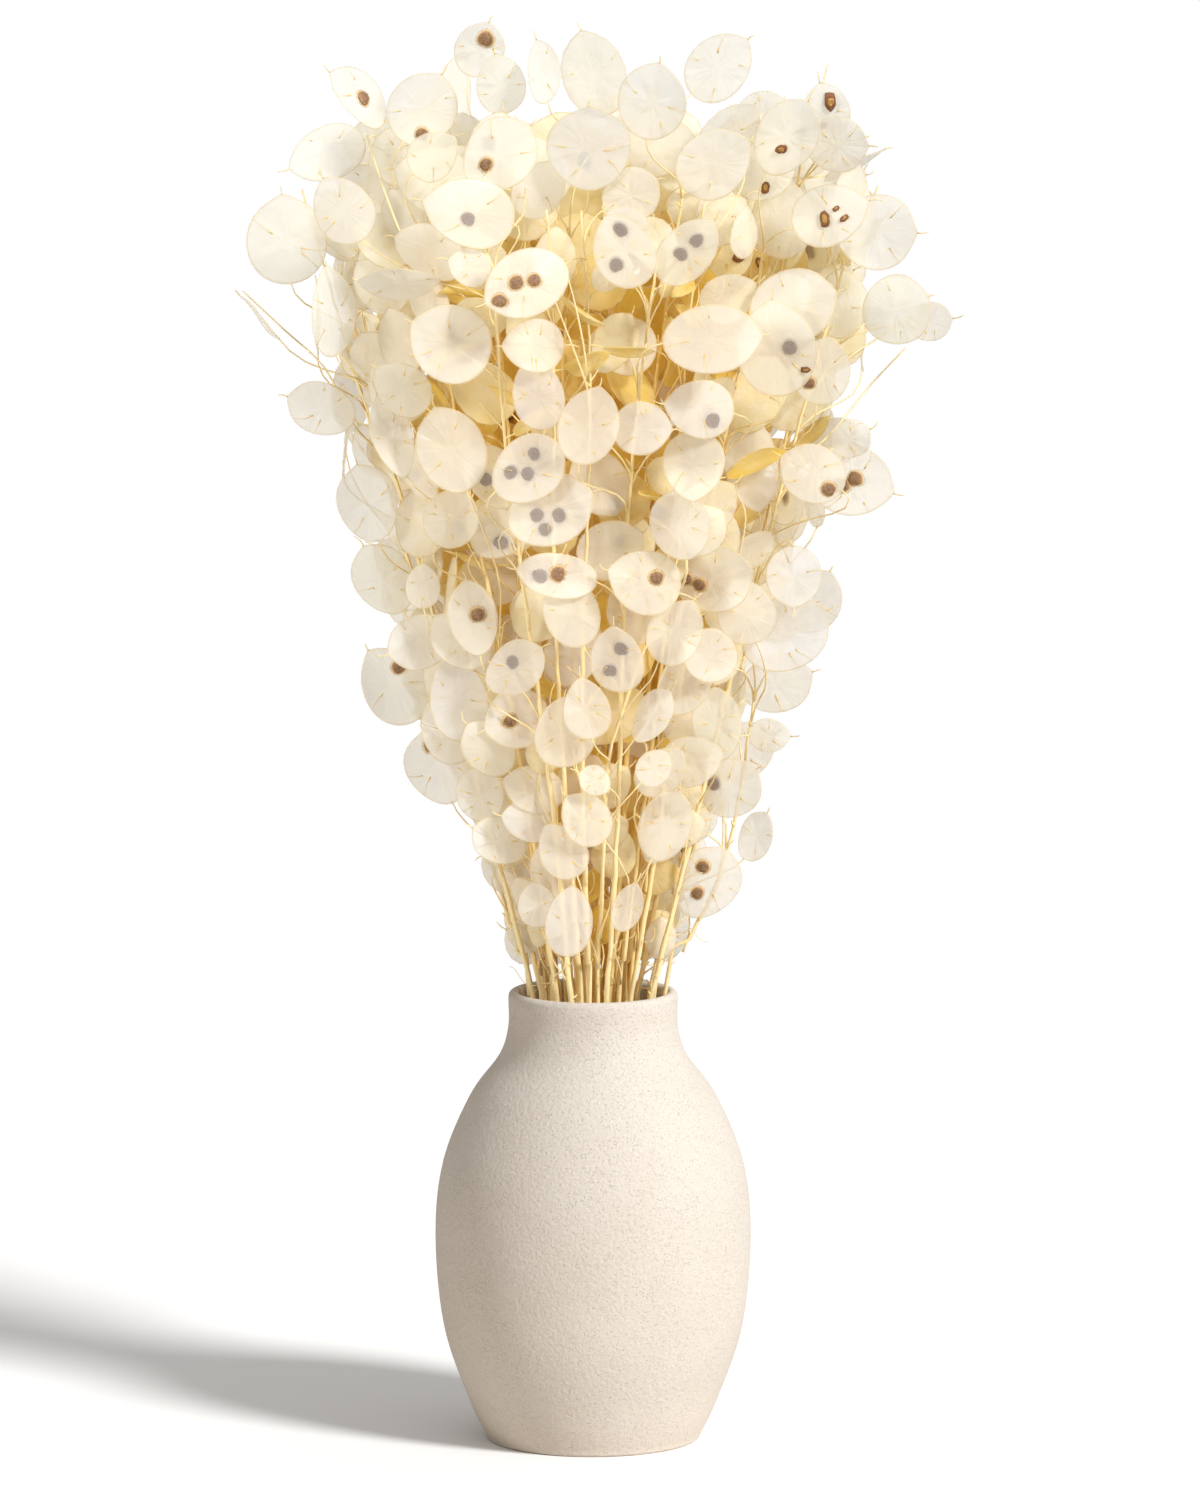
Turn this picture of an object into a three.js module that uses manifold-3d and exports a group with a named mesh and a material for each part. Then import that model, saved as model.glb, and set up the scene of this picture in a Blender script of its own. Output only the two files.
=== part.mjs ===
// Dried honesty stems with their silver seed pods, standing in a stoneware vase.
// Millimetres, +Z up, front towards -Y, origin at the centre of the vase's foot.
import * as THREE from 'three';
import { mergeVertices } from 'three/addons/utils/BufferGeometryUtils.js';
import Module from 'manifold-3d';

const wasm = await Module();
wasm.setup();

// ---- Driving dimensions, in millimetres and degrees ----

const vaseSize = {
  footRadius: 48,
  footRound: 2,
  side: [[57.5, 18], [69, 52], [73, 94], [69.5, 129], [57, 160], [43.5, 179], [39.3, 192], [39.1, 204]],
  sideSteps: 10,
  height: 209.5,
  wall: 5.1,
  floor: 8,
  lipTurns: [30, 75, 105, 150],
  facets: 24,
};

// Half widths of the whole bunch: a cone from the vase's mouth to the shoulder, a dome above it
const bunch = {
  mouthHeight: 206,
  mouthHalf: 30,
  shoulderHeight: 525,
  shoulderHalf: 152,
  top: 656,
  depth: 0.86,
  domePower: 2.2,
};

const stem = {
  count: 30,
  seatGap: 0.3,
  footSpread: 19,
  neckSpread: 30.5,
  flare: 0.292,
  footRadius: 1.5,
  tipRadius: 0.85,
  sides: 5,
  rings: 6,
  firstRing: 205,
  highestTip: 612,
  tipFall: 62,
  tipDraw: 34,
  sway: 5,
  swayWave: 68,
  swayTurn: 2.4,
};

const podWall = 0.9;
const beakLength = 1.2;
const rimTurns = [-160, -120, -80, -40, 0, 40, 80, 120, 160];

const stalk = {
  rootRadius: 0.55,
  endRadius: 0.38,
  sides: 3,
  sunk: 2.5,
  riseShare: 0.35,
  bendShare: 0.4,
  lowestRoot: 215,
};

const seed = { radius: 3.3, thickness: 1.7, sunk: 0.25, sides: 5 };

const clearance = 0.55;

// How a front pod finds its depth, its small tilts and a twig to a stem near it
const frontFit = {
  proud: 14,
  shallowest: 0.8,
  depthDraw: 0.12,
  sideMost: 0.97,
  step: 3,
  steps: 50,
  lean: -0.25,
  leanDraw: 0.3,
  tiltDraw: 0.35,
  facesUp: 0.1,
  stemsTried: 7,
  loadCost: 2.5,
  drops: [28, 42, 60, 82, 16],
  twigSteps: 2,
};

// Pods that a stem carries on short stalks to both sides, more of them on the back than on the front
const stemPods = {
  inner: 3,
  outer: 3.2,
  moreBehind: 2.6,
  innerShare: 0.55,
  lowest: 248,
  innerRise: 640,
  leastRun: 85,
  length: [27, 41],
  widthShare: [0.72, 0.92],
  lift: [12, 74],
  swing: [35, 120],
  stalkLength: [9, 18],
  faceDraw: 0.9,
  headroom: 0.25,
  seedDraw: 14,
  seedless: 12,
  seedAlong: 0.3,
  seedAcross: 0.36,
  tries: 14,
};

// The viewer's eye: the front pods lie on the lines from it to the places listed for them
const eye = new THREE.Vector3(0, -4500, 940);

// The front pods, the foremost first: x and z where the line of sight meets the plane y = 0, length,
// width, the turn of base to beak from +X, and how far the pod is turned about that line
const frontPods = [
  [-20, 432, 43, 33, 25], [-2, 471, 37, 28, 75], [-30, 451, 39, 30, 35], [-42, 425, 37, 28, 45],
  [-35, 336, 30, 28, 200], [-36, 359, 33, 24, 40], [11, 363, 34, 25, 95], [-10, 385, 35, 26, 110],
  [-16, 402, 38, 21, 170], [24, 399, 36, 30, 160], [55, 400, 38, 31, 20], [54, 365, 27, 25, 150],
  [54, 511, 45, 32, 5], [14, 508, 32, 27, 170], [14, 551, 36, 28, 115], [-30, 537, 42, 31, 205],
  [-56, 569, 43, 32, 165], [-25, 485, 34, 24, 100], [49, 479, 34, 27, 170], [46, 453, 32, 29, 270],
  [88, 375, 42, 34, 30], [92, 402, 28, 26, 270], [101, 449, 33, 27, 150], [118, 446, 40, 33, 345],
  [72, 455, 45, 25, 280], [3, 445, 32, 27, 300], [22, 470, 28, 25, 0], [-11, 241, 34, 22, 85],
  [-3, 289, 28, 23, 130], [52, 259, 37, 30, 60], [33, 286, 38, 24, 70], [33, 237, 34, 22, 80],
  [-29, 289, 26, 21, 170], [-24, 316, 37, 33, 260], [-29, 266, 34, 23, 10], [57, 333, 35, 23, 95],
  [63, 303, 32, 27, 40], [75, 281, 24, 20, 65, 40], [-43, 595, 38, 32, 45], [-78, 616, 35, 32, 60],
  [27, 619, 37, 32, 80], [57, 635, 36, 28, 45], [-2, 598, 41, 39, 90], [55, 591, 39, 31, 35],
  [43, 551, 38, 24, 50], [108, 568, 36, 28, 20], [129, 560, 37, 35, 0], [88, 603, 39, 28, 60],
  [106, 614, 28, 23, 100], [84, 506, 46, 37, 95], [105, 496, 32, 26, 80], [91, 526, 41, 34, 20],
  [138, 524, 33, 32, 25], [154, 519, 21, 18, 10], [-52, 643, 26, 23, 70], [-42, 627, 28, 23, 100],
  [-23, 633, 29, 24, 100, 50], [-106, 622, 35, 27, 137, 40], [-121, 596, 37, 25, 200],
  [-140, 556, 41, 37, 95], [-114, 570, 35, 27, 120], [-119, 523, 42, 27, 95, 35], [-65, 509, 41, 36, 150],
  [-27, 508, 28, 25, 180], [-65, 460, 41, 32, 110], [-124, 479, 32, 24, 160], [-103, 435, 37, 28, 105],
  [-65, 428, 29, 26, 60], [-55, 382, 36, 23, 100], [-91, 351, 40, 31, 125], [-62, 345, 45, 27, 100],
  [-71, 313, 38, 30, 110], [-152, 521, 28, 18, 128, 80],
];

// Seeds that show on the front pods, as x and z on the plane y = 0
const frontSeeds = [
  [-49, 648], [-105, 621], [-78, 605], [-89, 603], [-49, 591], [-57, 566], [86, 598], [108, 620], [105, 609],
  [106, 566], [115, 566], [111, 571], [13, 561], [11, 545], [47, 556], [40, 550], [90, 507], [99, 491],
  [-35, 537], [-27, 538], [-42, 529], [-53, 544], [55, 474], [108, 442], [114, 444], [120, 447],
  [-27, 458], [-30, 449], [-38, 450], [-26, 430], [-16, 430], [-22, 423], [-42, 417], [-24, 402], [-16, 403],
  [29, 401], [49, 398], [43, 401], [-89, 360], [-37, 362], [-38, 335], [13, 368], [8, 358], [29, 341],
  [27, 334], [-74, 323], [55, 306], [51, 267], [48, 255], [-53, 384],
];

// ---- Shared arithmetic ----

const goldenAngle = Math.PI * (3 - Math.sqrt(5));
const radians = THREE.MathUtils.degToRad;
const clamp = THREE.MathUtils.clamp;
const tiny = 1e-6;

// Even draws from 0 to 1, the same ones for the same seed number
function draws(number) {
  let state = number >>> 0;
  return () => {
    state = (state + 0x6d2b79f5) >>> 0;
    let mixed = Math.imul(state ^ (state >>> 15), state | 1);
    mixed ^= mixed + Math.imul(mixed ^ (mixed >>> 7), mixed | 61);
    return ((mixed ^ (mixed >>> 14)) >>> 0) / 4294967296;
  };
}

const within = ([low, high], share) => low + (high - low) * share;

function bunchHalf(z) {
  if (z < bunch.shoulderHeight) {
    const share = (z - bunch.mouthHeight) / (bunch.shoulderHeight - bunch.mouthHeight);
    return bunch.mouthHalf + (bunch.shoulderHalf - bunch.mouthHalf) * share;
  }
  const rise = Math.min(1, (z - bunch.shoulderHeight) / (bunch.top - bunch.shoulderHeight));
  return bunch.shoulderHalf * Math.sqrt(1 - rise ** bunch.domePower);
}

// ---- Where the stems run ----

const around = (i) => i * goldenAngle;
const spreadShare = (i) => Math.sqrt((i + 0.5) / stem.count);

// Stem i keeps its own direction from the axis and its own share of the spread, so no two stems cross
function stemPoint(i, z) {
  const above = Math.max(0, z - bunch.mouthHeight);
  const inside = Math.min(1, z / bunch.mouthHeight);
  const spread = within([stem.footSpread, stem.neckSpread], inside) + stem.flare * above;
  const reach = spreadShare(i) * spread;
  const sway = (stem.sway * Math.sin(z / stem.swayWave + stem.swayTurn * i) * above)
    / (bunch.shoulderHeight - bunch.mouthHeight);
  return new THREE.Vector3(
    reach * Math.cos(around(i)) - sway * Math.sin(around(i)),
    bunch.depth * (reach * Math.sin(around(i)) + sway * Math.cos(around(i))),
    z,
  );
}

function stemTip(i) {
  return stem.highestTip - stem.tipFall * spreadShare(i) ** 2 - stem.tipDraw * draws(77 + i)();
}

// A stem runs straight from its foot to the vase's neck, and on in equal straight lengths to its tip
function stemPath(i) {
  const path = [stemPoint(i, vaseSize.floor + stem.seatGap)];
  for (let ring = 0; ring <= stem.rings; ring += 1) {
    path.push(stemPoint(i, within([stem.firstRing, stemTip(i)], ring / stem.rings)));
  }
  return path;
}

const stems = Array.from({ length: stem.count }, (_, i) => stemPath(i));

// The point of stem i at a height, and the way the stem runs there
function onStem(i, z) {
  const high = stems[i].find((point) => point.z >= z - tiny);
  const low = stems[i][stems[i].indexOf(high) - 1];
  const point = low.clone().lerp(high, (z - low.z) / (high.z - low.z));
  return { point, rising: high.clone().sub(low).normalize() };
}

// ---- Clearances between pods, stems and stalks ----

const sticks = [];
const pods = [];

function addSticks(path, radius, spray) {
  for (let k = 1; k < path.length; k += 1) {
    sticks.push({ from: path[k - 1], to: path[k], radius, spray });
  }
}

// A pod: an oval wall with its centre, the way from base to beak (u), across (v) and out of its face (w)
function makePod(centre, along, facing, length, width) {
  const u = along.clone().normalize();
  const w = facing.clone().addScaledVector(u, -facing.dot(u)).normalize();
  const v = new THREE.Vector3().crossVectors(w, u);
  return { centre, u, v, w, long: length / 2, wide: width / 2, seeds: [] };
}

// The rim of a pod in its own plane: points of the oval, the one at the tip drawn out to the beak
function podRim(pod) {
  return rimTurns.map((turn) => [
    pod.long * Math.cos(radians(turn)) + (turn === 0 ? beakLength : 0),
    pod.wide * Math.sin(radians(turn)),
  ]);
}

const onPod = (pod, a, b) => pod.centre.clone().addScaledVector(pod.u, a).addScaledVector(pod.v, b);

// True where the straight piece comes nearer than the gap to the pod's wall: the stretch of it that is
// within the gap of the pod's plane reaches into the oval grown by the gap
function meetsPod(from, to, pod, gap) {
  const a = from.clone().sub(pod.centre);
  const b = to.clone().sub(pod.centre);
  const height = a.dot(pod.w);
  const rise = b.dot(pod.w) - height || tiny;
  const enter = (-gap - height) / rise;
  const leave = (gap - height) / rise;
  const start = Math.max(0, Math.min(enter, leave));
  const end = Math.min(1, Math.max(enter, leave));
  if (start >= end) return false;
  const x = a.dot(pod.u) / (pod.long + gap);
  const y = a.dot(pod.v) / (pod.wide + gap);
  const runX = b.dot(pod.u) / (pod.long + gap) - x;
  const runY = b.dot(pod.v) / (pod.wide + gap) - y;
  const nearest = clamp(-(x * runX + y * runY) / (runX * runX + runY * runY + tiny), start, end);
  return Math.hypot(x + nearest * runX, y + nearest * runY) < 1;
}

function rimMeets(one, other, gap) {
  const rim = podRim(one).map(([a, b]) => onPod(one, a, b));
  return rim.some((point, k) => meetsPod(point, rim[(k + 1) % rim.length], other, gap));
}

function podsMeet(one, other) {
  const gap = podWall + clearance;
  if (one.centre.distanceTo(other.centre) > one.long + other.long + beakLength + gap) return false;
  return rimMeets(one, other, gap) || rimMeets(other, one, gap);
}

// The shortest way between two straight pieces
function stickGap(from, to, start, end) {
  const run = to.clone().sub(from);
  const other = end.clone().sub(start);
  const between = from.clone().sub(start);
  const cross = run.dot(other);
  const spread = run.lengthSq() * other.lengthSq() - cross * cross;
  const first = (cross * other.dot(between) - run.dot(between) * other.lengthSq()) / (spread + tiny);
  const across = clamp((cross * clamp(first, 0, 1) + other.dot(between)) / other.lengthSq(), 0, 1);
  const along = clamp((cross * across - run.dot(between)) / run.lengthSq(), 0, 1);
  return between.addScaledVector(run, along).addScaledVector(other, -across).length();
}

function podIsClear(pod) {
  if (pods.some((other) => podsMeet(pod, other))) return false;
  const beak = [onPod(pod, pod.long, 0), onPod(pod, pod.long + beakLength, 0)];
  return !sticks.some((stick) => {
    const gap = stick.radius + podWall / 2 + clearance;
    return meetsPod(stick.from, stick.to, pod, gap) || stickGap(...beak, stick.from, stick.to) < gap;
  });
}

// A stalk may touch its own spray, which it is fused to, and no other
function stalkIsClear(path, spray) {
  const room = stalk.rootRadius + clearance;
  return path.slice(1).every((to, k) => {
    const from = path[k];
    if (pods.some((pod) => meetsPod(from, to, pod, room + podWall / 2))) return false;
    const others = sticks.filter((stick) => stick.spray !== spray);
    return others.every((stick) => stickGap(from, to, stick.from, stick.to) > stick.radius + room);
  });
}

// A stalk: out of the stem at a height, along it at first, and into the pod's base along the pod
function stalkPath(pod, spray, height, steps) {
  const { point: root, rising } = onStem(spray, height);
  const base = onPod(pod, -pod.long, 0);
  const far = root.distanceTo(base);
  const curve = new THREE.CubicBezierCurve3(
    root,
    root.clone().addScaledVector(rising, stalk.riseShare * far),
    base.clone().addScaledVector(pod.u, -stalk.bendShare * far),
    base.clone().addScaledVector(pod.u, stalk.sunk),
  );
  return curve.getPoints(steps);
}

// Keeps the pod if its stalk is clear too, and says whether it did
function keepPod(pod, path, spray) {
  if (!stalkIsClear(path, spray)) return false;
  pods.push(Object.assign(pod, { spray, stalk: path }));
  addSticks(path, stalk.rootRadius, spray);
  return true;
}

// ---- Laying out the pods ----

// A front pod starts at the bunch's front and moves in along the line of sight until all of it is clear
function placeFrontPod([x, z, length, width, roll, turn = 0], order) {
  const draw = draws(500 + order);
  const lean = frontFit.lean + frontFit.leanDraw * (draw() - 0.5);
  const tilt = frontFit.tiltDraw * (draw() - 0.5) + (draw() < 0.5 ? -1 : 1) * Math.tan(radians(turn));
  const inward = frontFit.shallowest + frontFit.depthDraw * draw();
  const side = Math.min(frontFit.sideMost, Math.abs(x) / bunchHalf(z));
  const front = -bunch.depth * (bunchHalf(z) + frontFit.proud) * Math.sqrt(1 - side * side) * inward;
  const along = new THREE.Vector3(Math.cos(radians(roll)), lean, Math.sin(radians(roll)));
  const facing = new THREE.Vector3(-along.z * tilt, -1, frontFit.facesUp + along.x * tilt);
  for (let step = 0; step < frontFit.steps; step += 1) {
    const near = 1 - (front + step * frontFit.step) / eye.y;
    const centre = eye.clone().lerp(new THREE.Vector3(x, 0, z), near);
    const pod = makePod(centre, along, facing, length * near, width * near);
    if (podIsClear(pod) && findTwig(pod)) return;
  }
}

// The nearest and least loaded stem that a twig can reach the pod from, tried at several heights
function findTwig(pod) {
  const base = onPod(pod, -pod.long, 0);
  const rootHeight = (i, drop) => Math.min(stemTip(i) - 1, Math.max(stalk.lowestRoot, base.z - drop));
  const cost = (i) => onStem(i, rootHeight(i, frontFit.drops[0])).point.distanceTo(base)
    + frontFit.loadCost * pods.filter(({ spray }) => spray === i).length;
  const nearest = stems.map((_, i) => ({ i, cost: cost(i) })).sort((one, other) => one.cost - other.cost);
  return nearest.slice(0, frontFit.stemsTried).some(({ i }) => frontFit.drops.some(
    (drop) => keepPod(pod, stalkPath(pod, i, rootHeight(i, drop), frontFit.twigSteps), i),
  ));
}

// A seed sits on the first front pod that its line of sight goes through, well inside the rim
function placeFrontSeed([x, z]) {
  const ray = new THREE.Vector3(x, 0, z).sub(eye);
  for (const pod of pods) {
    const reach = pod.centre.clone().sub(eye).dot(pod.w) / ray.dot(pod.w);
    const spot = eye.clone().addScaledVector(ray, reach).sub(pod.centre);
    const a = spot.dot(pod.u);
    const b = spot.dot(pod.v);
    if (Math.hypot(a / (pod.long - seed.radius), b / (pod.wide - seed.radius)) < 1) {
      pod.seeds.push([a, b]);
      return;
    }
  }
}

// A stem's own pods, from its tip down, by turns to its left and right, with faces turned outwards
function placeStemPods(i) {
  const inner = spreadShare(i) < stemPods.innerShare;
  const outerCount = stemPods.outer + stemPods.moreBehind * Math.sin(around(i));
  const count = Math.round(inner ? stemPods.inner : outerCount);
  const tip = stemTip(i) - 1;
  const low = Math.min(tip - stemPods.leastRun, stemPods.lowest + (1 - spreadShare(i)) * stemPods.innerRise);
  for (let k = 0; k < count; k += 1) {
    const draw = draws(9000 + 100 * i + k);
    const down = k === 0 ? 0 : (k + draw() / 2) / (count - 0.5);
    const height = within([tip, low], down);
    const length = within(stemPods.length, draw());
    const width = length * within(stemPods.widthShare, draw());
    const seeds = Math.floor(stemPods.seedDraw * draw()) - stemPods.seedless;
    let kept = false;
    for (let t = 0; t < stemPods.tries && !kept; t += 1) {
      const lift = radians(within(stemPods.lift, draw()));
      const swing = around(i) + ((k + t) % 2 ? 1 : -1) * radians(within(stemPods.swing, draw()));
      const level = new THREE.Vector3(Math.cos(swing), Math.sin(swing), Math.tan(lift));
      const facing = new THREE.Vector3(draw() - 0.5, draw() - 0.5, draw() - 0.5);
      facing.multiplyScalar(stemPods.faceDraw);
      facing.add(new THREE.Vector3(Math.cos(around(i)), Math.sin(around(i)), 0));
      const reach = within(stemPods.stalkLength, draw()) + length / 2;
      const centre = onStem(i, height).point.addScaledVector(level.normalize(), reach);
      const pod = makePod(centre, level, facing, length, width);
      const room = bunchHalf(centre.z) - Math.hypot(centre.x, centre.y / bunch.depth);
      const clear = room > stemPods.headroom * length && podIsClear(pod);
      kept = clear && keepPod(pod, stalkPath(pod, i, height, 1), i);
      if (kept) addStemSeeds(pod, seeds, draw);
    }
  }
}

function addStemSeeds(pod, count, draw) {
  for (let s = 0; s < count; s += 1) {
    const turn = goldenAngle * s + 2 * Math.PI * draw();
    const a = stemPods.seedAlong * pod.long * Math.cos(turn);
    pod.seeds.push([a, stemPods.seedAcross * pod.wide * Math.sin(turn)]);
  }
}

stems.forEach((path, i) => addSticks(path, stem.footRadius, i));
frontPods.forEach(placeFrontPod);
frontSeeds.forEach(placeFrontSeed);
stems.forEach((_, i) => placeStemPods(stem.count - 1 - i));

// ---- Solids ----

function toSolid(geometry) {
  geometry.deleteAttribute('normal');
  geometry.deleteAttribute('uv');
  const merged = mergeVertices(geometry, 1e-4);
  const mesh = new wasm.Mesh({
    numProp: 3,
    vertProperties: new Float32Array(merged.attributes.position.array),
    triVerts: new Uint32Array(merged.index.array),
  });
  return new wasm.Manifold(mesh);
}

function toGeometry(solid) {
  const mesh = solid.getMesh();
  const geometry = new THREE.BufferGeometry();
  geometry.setAttribute('position', new THREE.BufferAttribute(mesh.vertProperties, 3));
  geometry.setIndex(new THREE.BufferAttribute(mesh.triVerts, 1));
  geometry.computeVertexNormals();
  return geometry;
}

// A round stick along a path, tapering from its start to its end: a tall cylinder bent to the path
function stickSolid(path, startRadius, endRadius, sides) {
  const rings = path.length - 1;
  const geometry = new THREE.CylinderGeometry(1, 1, 1, sides, rings);
  const position = geometry.attributes.position;
  const chord = path[rings].clone().sub(path[0]).normalize();
  const aside = Math.abs(chord.z) > 0.8 ? new THREE.Vector3(1, 0, 0) : new THREE.Vector3(0, 0, 1);
  for (let k = 0; k < position.count; k += 1) {
    const ring = Math.round((position.getY(k) + 0.5) * rings);
    const before = path[Math.max(0, ring - 1)];
    const after = path[Math.min(rings, ring + 1)];
    const tangent = after.clone().sub(before).normalize();
    const third = new THREE.Vector3().crossVectors(aside, tangent).normalize();
    const second = new THREE.Vector3().crossVectors(tangent, third);
    const radius = within([startRadius, endRadius], ring / rings);
    const point = path[ring].clone();
    point.addScaledVector(third, radius * position.getX(k));
    point.addScaledVector(second, -radius * position.getZ(k));
    position.setXYZ(k, point.x, point.y, point.z);
  }
  return toSolid(geometry);
}

const podPlace = (pod, centre) => new THREE.Matrix4().makeBasis(pod.u, pod.v, pod.w).setPosition(centre);

// A pod's wall: its rim as a flat blade, set in the pod's plane
function podSolid(pod) {
  const outline = new THREE.Shape(podRim(pod).map(([a, b]) => new THREE.Vector2(a, b)));
  const blade = new THREE.ExtrudeGeometry(outline, { depth: podWall, bevelEnabled: false });
  blade.translate(0, 0, -podWall / 2);
  return toSolid(blade.applyMatrix4(podPlace(pod, pod.centre)));
}

// A seed: a small flat disc on the pod's face
function seedSolid(pod, [a, b]) {
  const disc = new THREE.CylinderGeometry(seed.radius, seed.radius, seed.thickness, seed.sides);
  disc.rotateX(Math.PI / 2);
  disc.translate(0, 0, seed.thickness / 2 - seed.sunk);
  return toSolid(disc.applyMatrix4(podPlace(pod, onPod(pod, a, b))));
}

// A spray: one stem with all its stalks, pods and seeds grown together
function spraySolid(i) {
  const pieces = [stickSolid(stems[i], stem.footRadius, stem.tipRadius, stem.sides)];
  for (const pod of pods.filter(({ spray }) => spray === i)) {
    pieces.push(stickSolid(pod.stalk, stalk.rootRadius, stalk.endRadius, stalk.sides), podSolid(pod));
    pieces.push(...pod.seeds.map((place) => seedSolid(pod, place)));
  }
  return wasm.Manifold.union(pieces);
}

// The vase, turned from its section: the flat foot, the swelling side, the rounded lip, and the inside
// one wall further in, down to its floor
function vaseSolid() {
  const { footRadius, footRound, side, sideSteps, height, wall, floor } = vaseSize;
  const corners = [[footRadius + footRound, footRound], ...side].map(([r, z]) => new THREE.Vector2(r, z));
  const outside = new THREE.SplineCurve(corners).getPoints(sideSteps);
  const lipRound = wall / 2;
  const lipMiddle = side[side.length - 1][0] - lipRound;
  const lip = vaseSize.lipTurns.map((turn) => new THREE.Vector2(
    lipMiddle + lipRound * Math.cos(radians(turn)),
    height - lipRound + lipRound * Math.sin(radians(turn)),
  ));
  const inside = outside.filter((_, k) => k > 0 && k % 2 === 0).reverse();
  const section = [
    new THREE.Vector2(0, 0),
    new THREE.Vector2(footRadius, 0),
    ...outside,
    ...lip,
    ...inside.map(({ x, y }) => new THREE.Vector2(x - wall, y)),
    new THREE.Vector2(footRadius - wall, floor),
    new THREE.Vector2(0, floor),
  ];
  return toSolid(new THREE.LatheGeometry(section, vaseSize.facets).rotateX(Math.PI / 2));
}

// ---- The object ----

const stoneware = new THREE.MeshStandardMaterial({ color: '#e6ddcf', roughness: 0.82, metalness: 0 });
const driedPod = new THREE.MeshStandardMaterial({ color: '#efe6c8', roughness: 0.5, metalness: 0 });

function addPiece(group, name, solid, material) {
  const piece = new THREE.Mesh(toGeometry(solid), material);
  piece.name = name;
  group.add(piece);
}

const honesty = new THREE.Group();
addPiece(honesty, 'vase', vaseSolid(), stoneware);
stems.forEach((_, i) => {
  addPiece(honesty, `spray_${String(i + 1).padStart(2, '0')}`, spraySolid(i), driedPod);
});

export default honesty;
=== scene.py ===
import math

import bpy
import numpy as np
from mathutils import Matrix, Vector


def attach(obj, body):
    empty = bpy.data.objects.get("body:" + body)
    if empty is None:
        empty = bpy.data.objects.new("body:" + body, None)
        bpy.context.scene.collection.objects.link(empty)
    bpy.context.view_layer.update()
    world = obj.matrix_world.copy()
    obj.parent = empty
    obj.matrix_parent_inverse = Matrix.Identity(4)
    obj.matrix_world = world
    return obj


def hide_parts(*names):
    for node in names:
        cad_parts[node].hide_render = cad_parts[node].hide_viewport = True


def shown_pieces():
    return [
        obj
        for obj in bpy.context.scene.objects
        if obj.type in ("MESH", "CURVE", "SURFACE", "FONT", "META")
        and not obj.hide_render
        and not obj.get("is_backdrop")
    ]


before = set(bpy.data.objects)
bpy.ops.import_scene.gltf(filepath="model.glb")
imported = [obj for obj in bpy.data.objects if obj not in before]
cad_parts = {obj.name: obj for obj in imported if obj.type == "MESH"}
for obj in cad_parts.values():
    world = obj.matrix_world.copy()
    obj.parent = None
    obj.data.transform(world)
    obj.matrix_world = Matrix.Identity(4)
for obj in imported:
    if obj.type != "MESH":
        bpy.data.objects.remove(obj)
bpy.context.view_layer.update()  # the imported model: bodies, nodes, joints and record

# Dried honesty stems with their silver seed pods, standing in a stoneware vase.
# Lengths below are millimetres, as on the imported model. A mesh is turned to metres as it is made.
mm = 0.001

# ---- Wiring nodes ----

bench = {}  # holds the node tree that is being wired


def startTree(owner):
    owner.use_nodes = True
    bench["tree"] = owner.node_tree
    bench["tree"].nodes.clear()
    return owner


# Adds a node, sets or links its inputs and gives one of its outputs
def add(kind, inputs=None, out=0, **settings):
    made = bench["tree"].nodes.new("ShaderNode" + kind)
    for key, value in settings.items():
        setattr(made, key, value)
    for key, value in (inputs or {}).items():
        socket = made.inputs[key]
        if isinstance(value, bpy.types.NodeSocket):
            bench["tree"].links.new(value, socket)
        else:
            socket.default_value = (*value, 1) if socket.type == "RGBA" else value
    return made.outputs[out] if made.outputs else None


def colourRamp(factor, stops):
    colour = add("ValToRGB", {"Fac": factor})
    elements = colour.node.color_ramp.elements  # two to begin with
    while len(elements) < len(stops):
        elements.new(0.5)
    for element, (place, given) in zip(elements, stops):
        element.position = place
        element.color = (*given, 1)
    return colour


def mixColour(factor, one, other, blend="MIX"):
    return add("Mix", {0: factor, 6: one, 7: other}, 2, data_type="RGBA", blend_type=blend)


def mixShader(factor, one, other):
    return add("MixShader", {0: factor, 1: one, 2: other})


# A value from low to high becomes one from outLow to outHigh
def mapValue(value, low, high, outLow=0.0, outHigh=1.0, kind="SMOOTHSTEP"):
    given = {"Value": value, "From Min": low, "From Max": high, "To Min": outLow, "To Max": outHigh}
    return add("MapRange", given, interpolation_type=kind)


def noise(vector, scale, detail=2.0, roughness=0.5):
    given = {"Vector": vector, "Scale": scale, "Detail": detail, "Roughness": roughness}
    return add("TexNoise", given, "Fac")


def objectPlace():
    return add("TexCoord", out="Object")


def mark(name, out="Fac"):
    return add("Attribute", out=out, attribute_name=name)


def times(one, other):
    return add("Math", {0: one, 1: other}, operation="MULTIPLY")


def plus(one, other):
    return add("Math", {0: one, 1: other}, operation="ADD")


def bumped(height, strength, depth):
    return add("Bump", {"Height": height, "Strength": strength, "Distance": depth})


# Ends a material with what its surface is
def finishMaterial(material, surface):
    add("OutputMaterial", {"Surface": surface})
    return material


# One shader for what the camera sees directly, and another for the light that goes on from there
def seenAs(seen, passedOn):
    return mixShader(add("LightPath", out="Is Camera Ray"), passedOn, seen)


# ---- Camera, light and floor ----

view = {
    "eye": (0.0, -4.5, 0.94),  # metres
    "pitch": 7.825,  # degrees below level
    "focal": 9875,  # in pixels of the frame
    "frame": (1200, 1499),
    "axisAcross": 593,  # where the vase's axis stands in the frame
    "sensor": 36,  # millimetres
    "clipEnd": 200,
}

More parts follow.
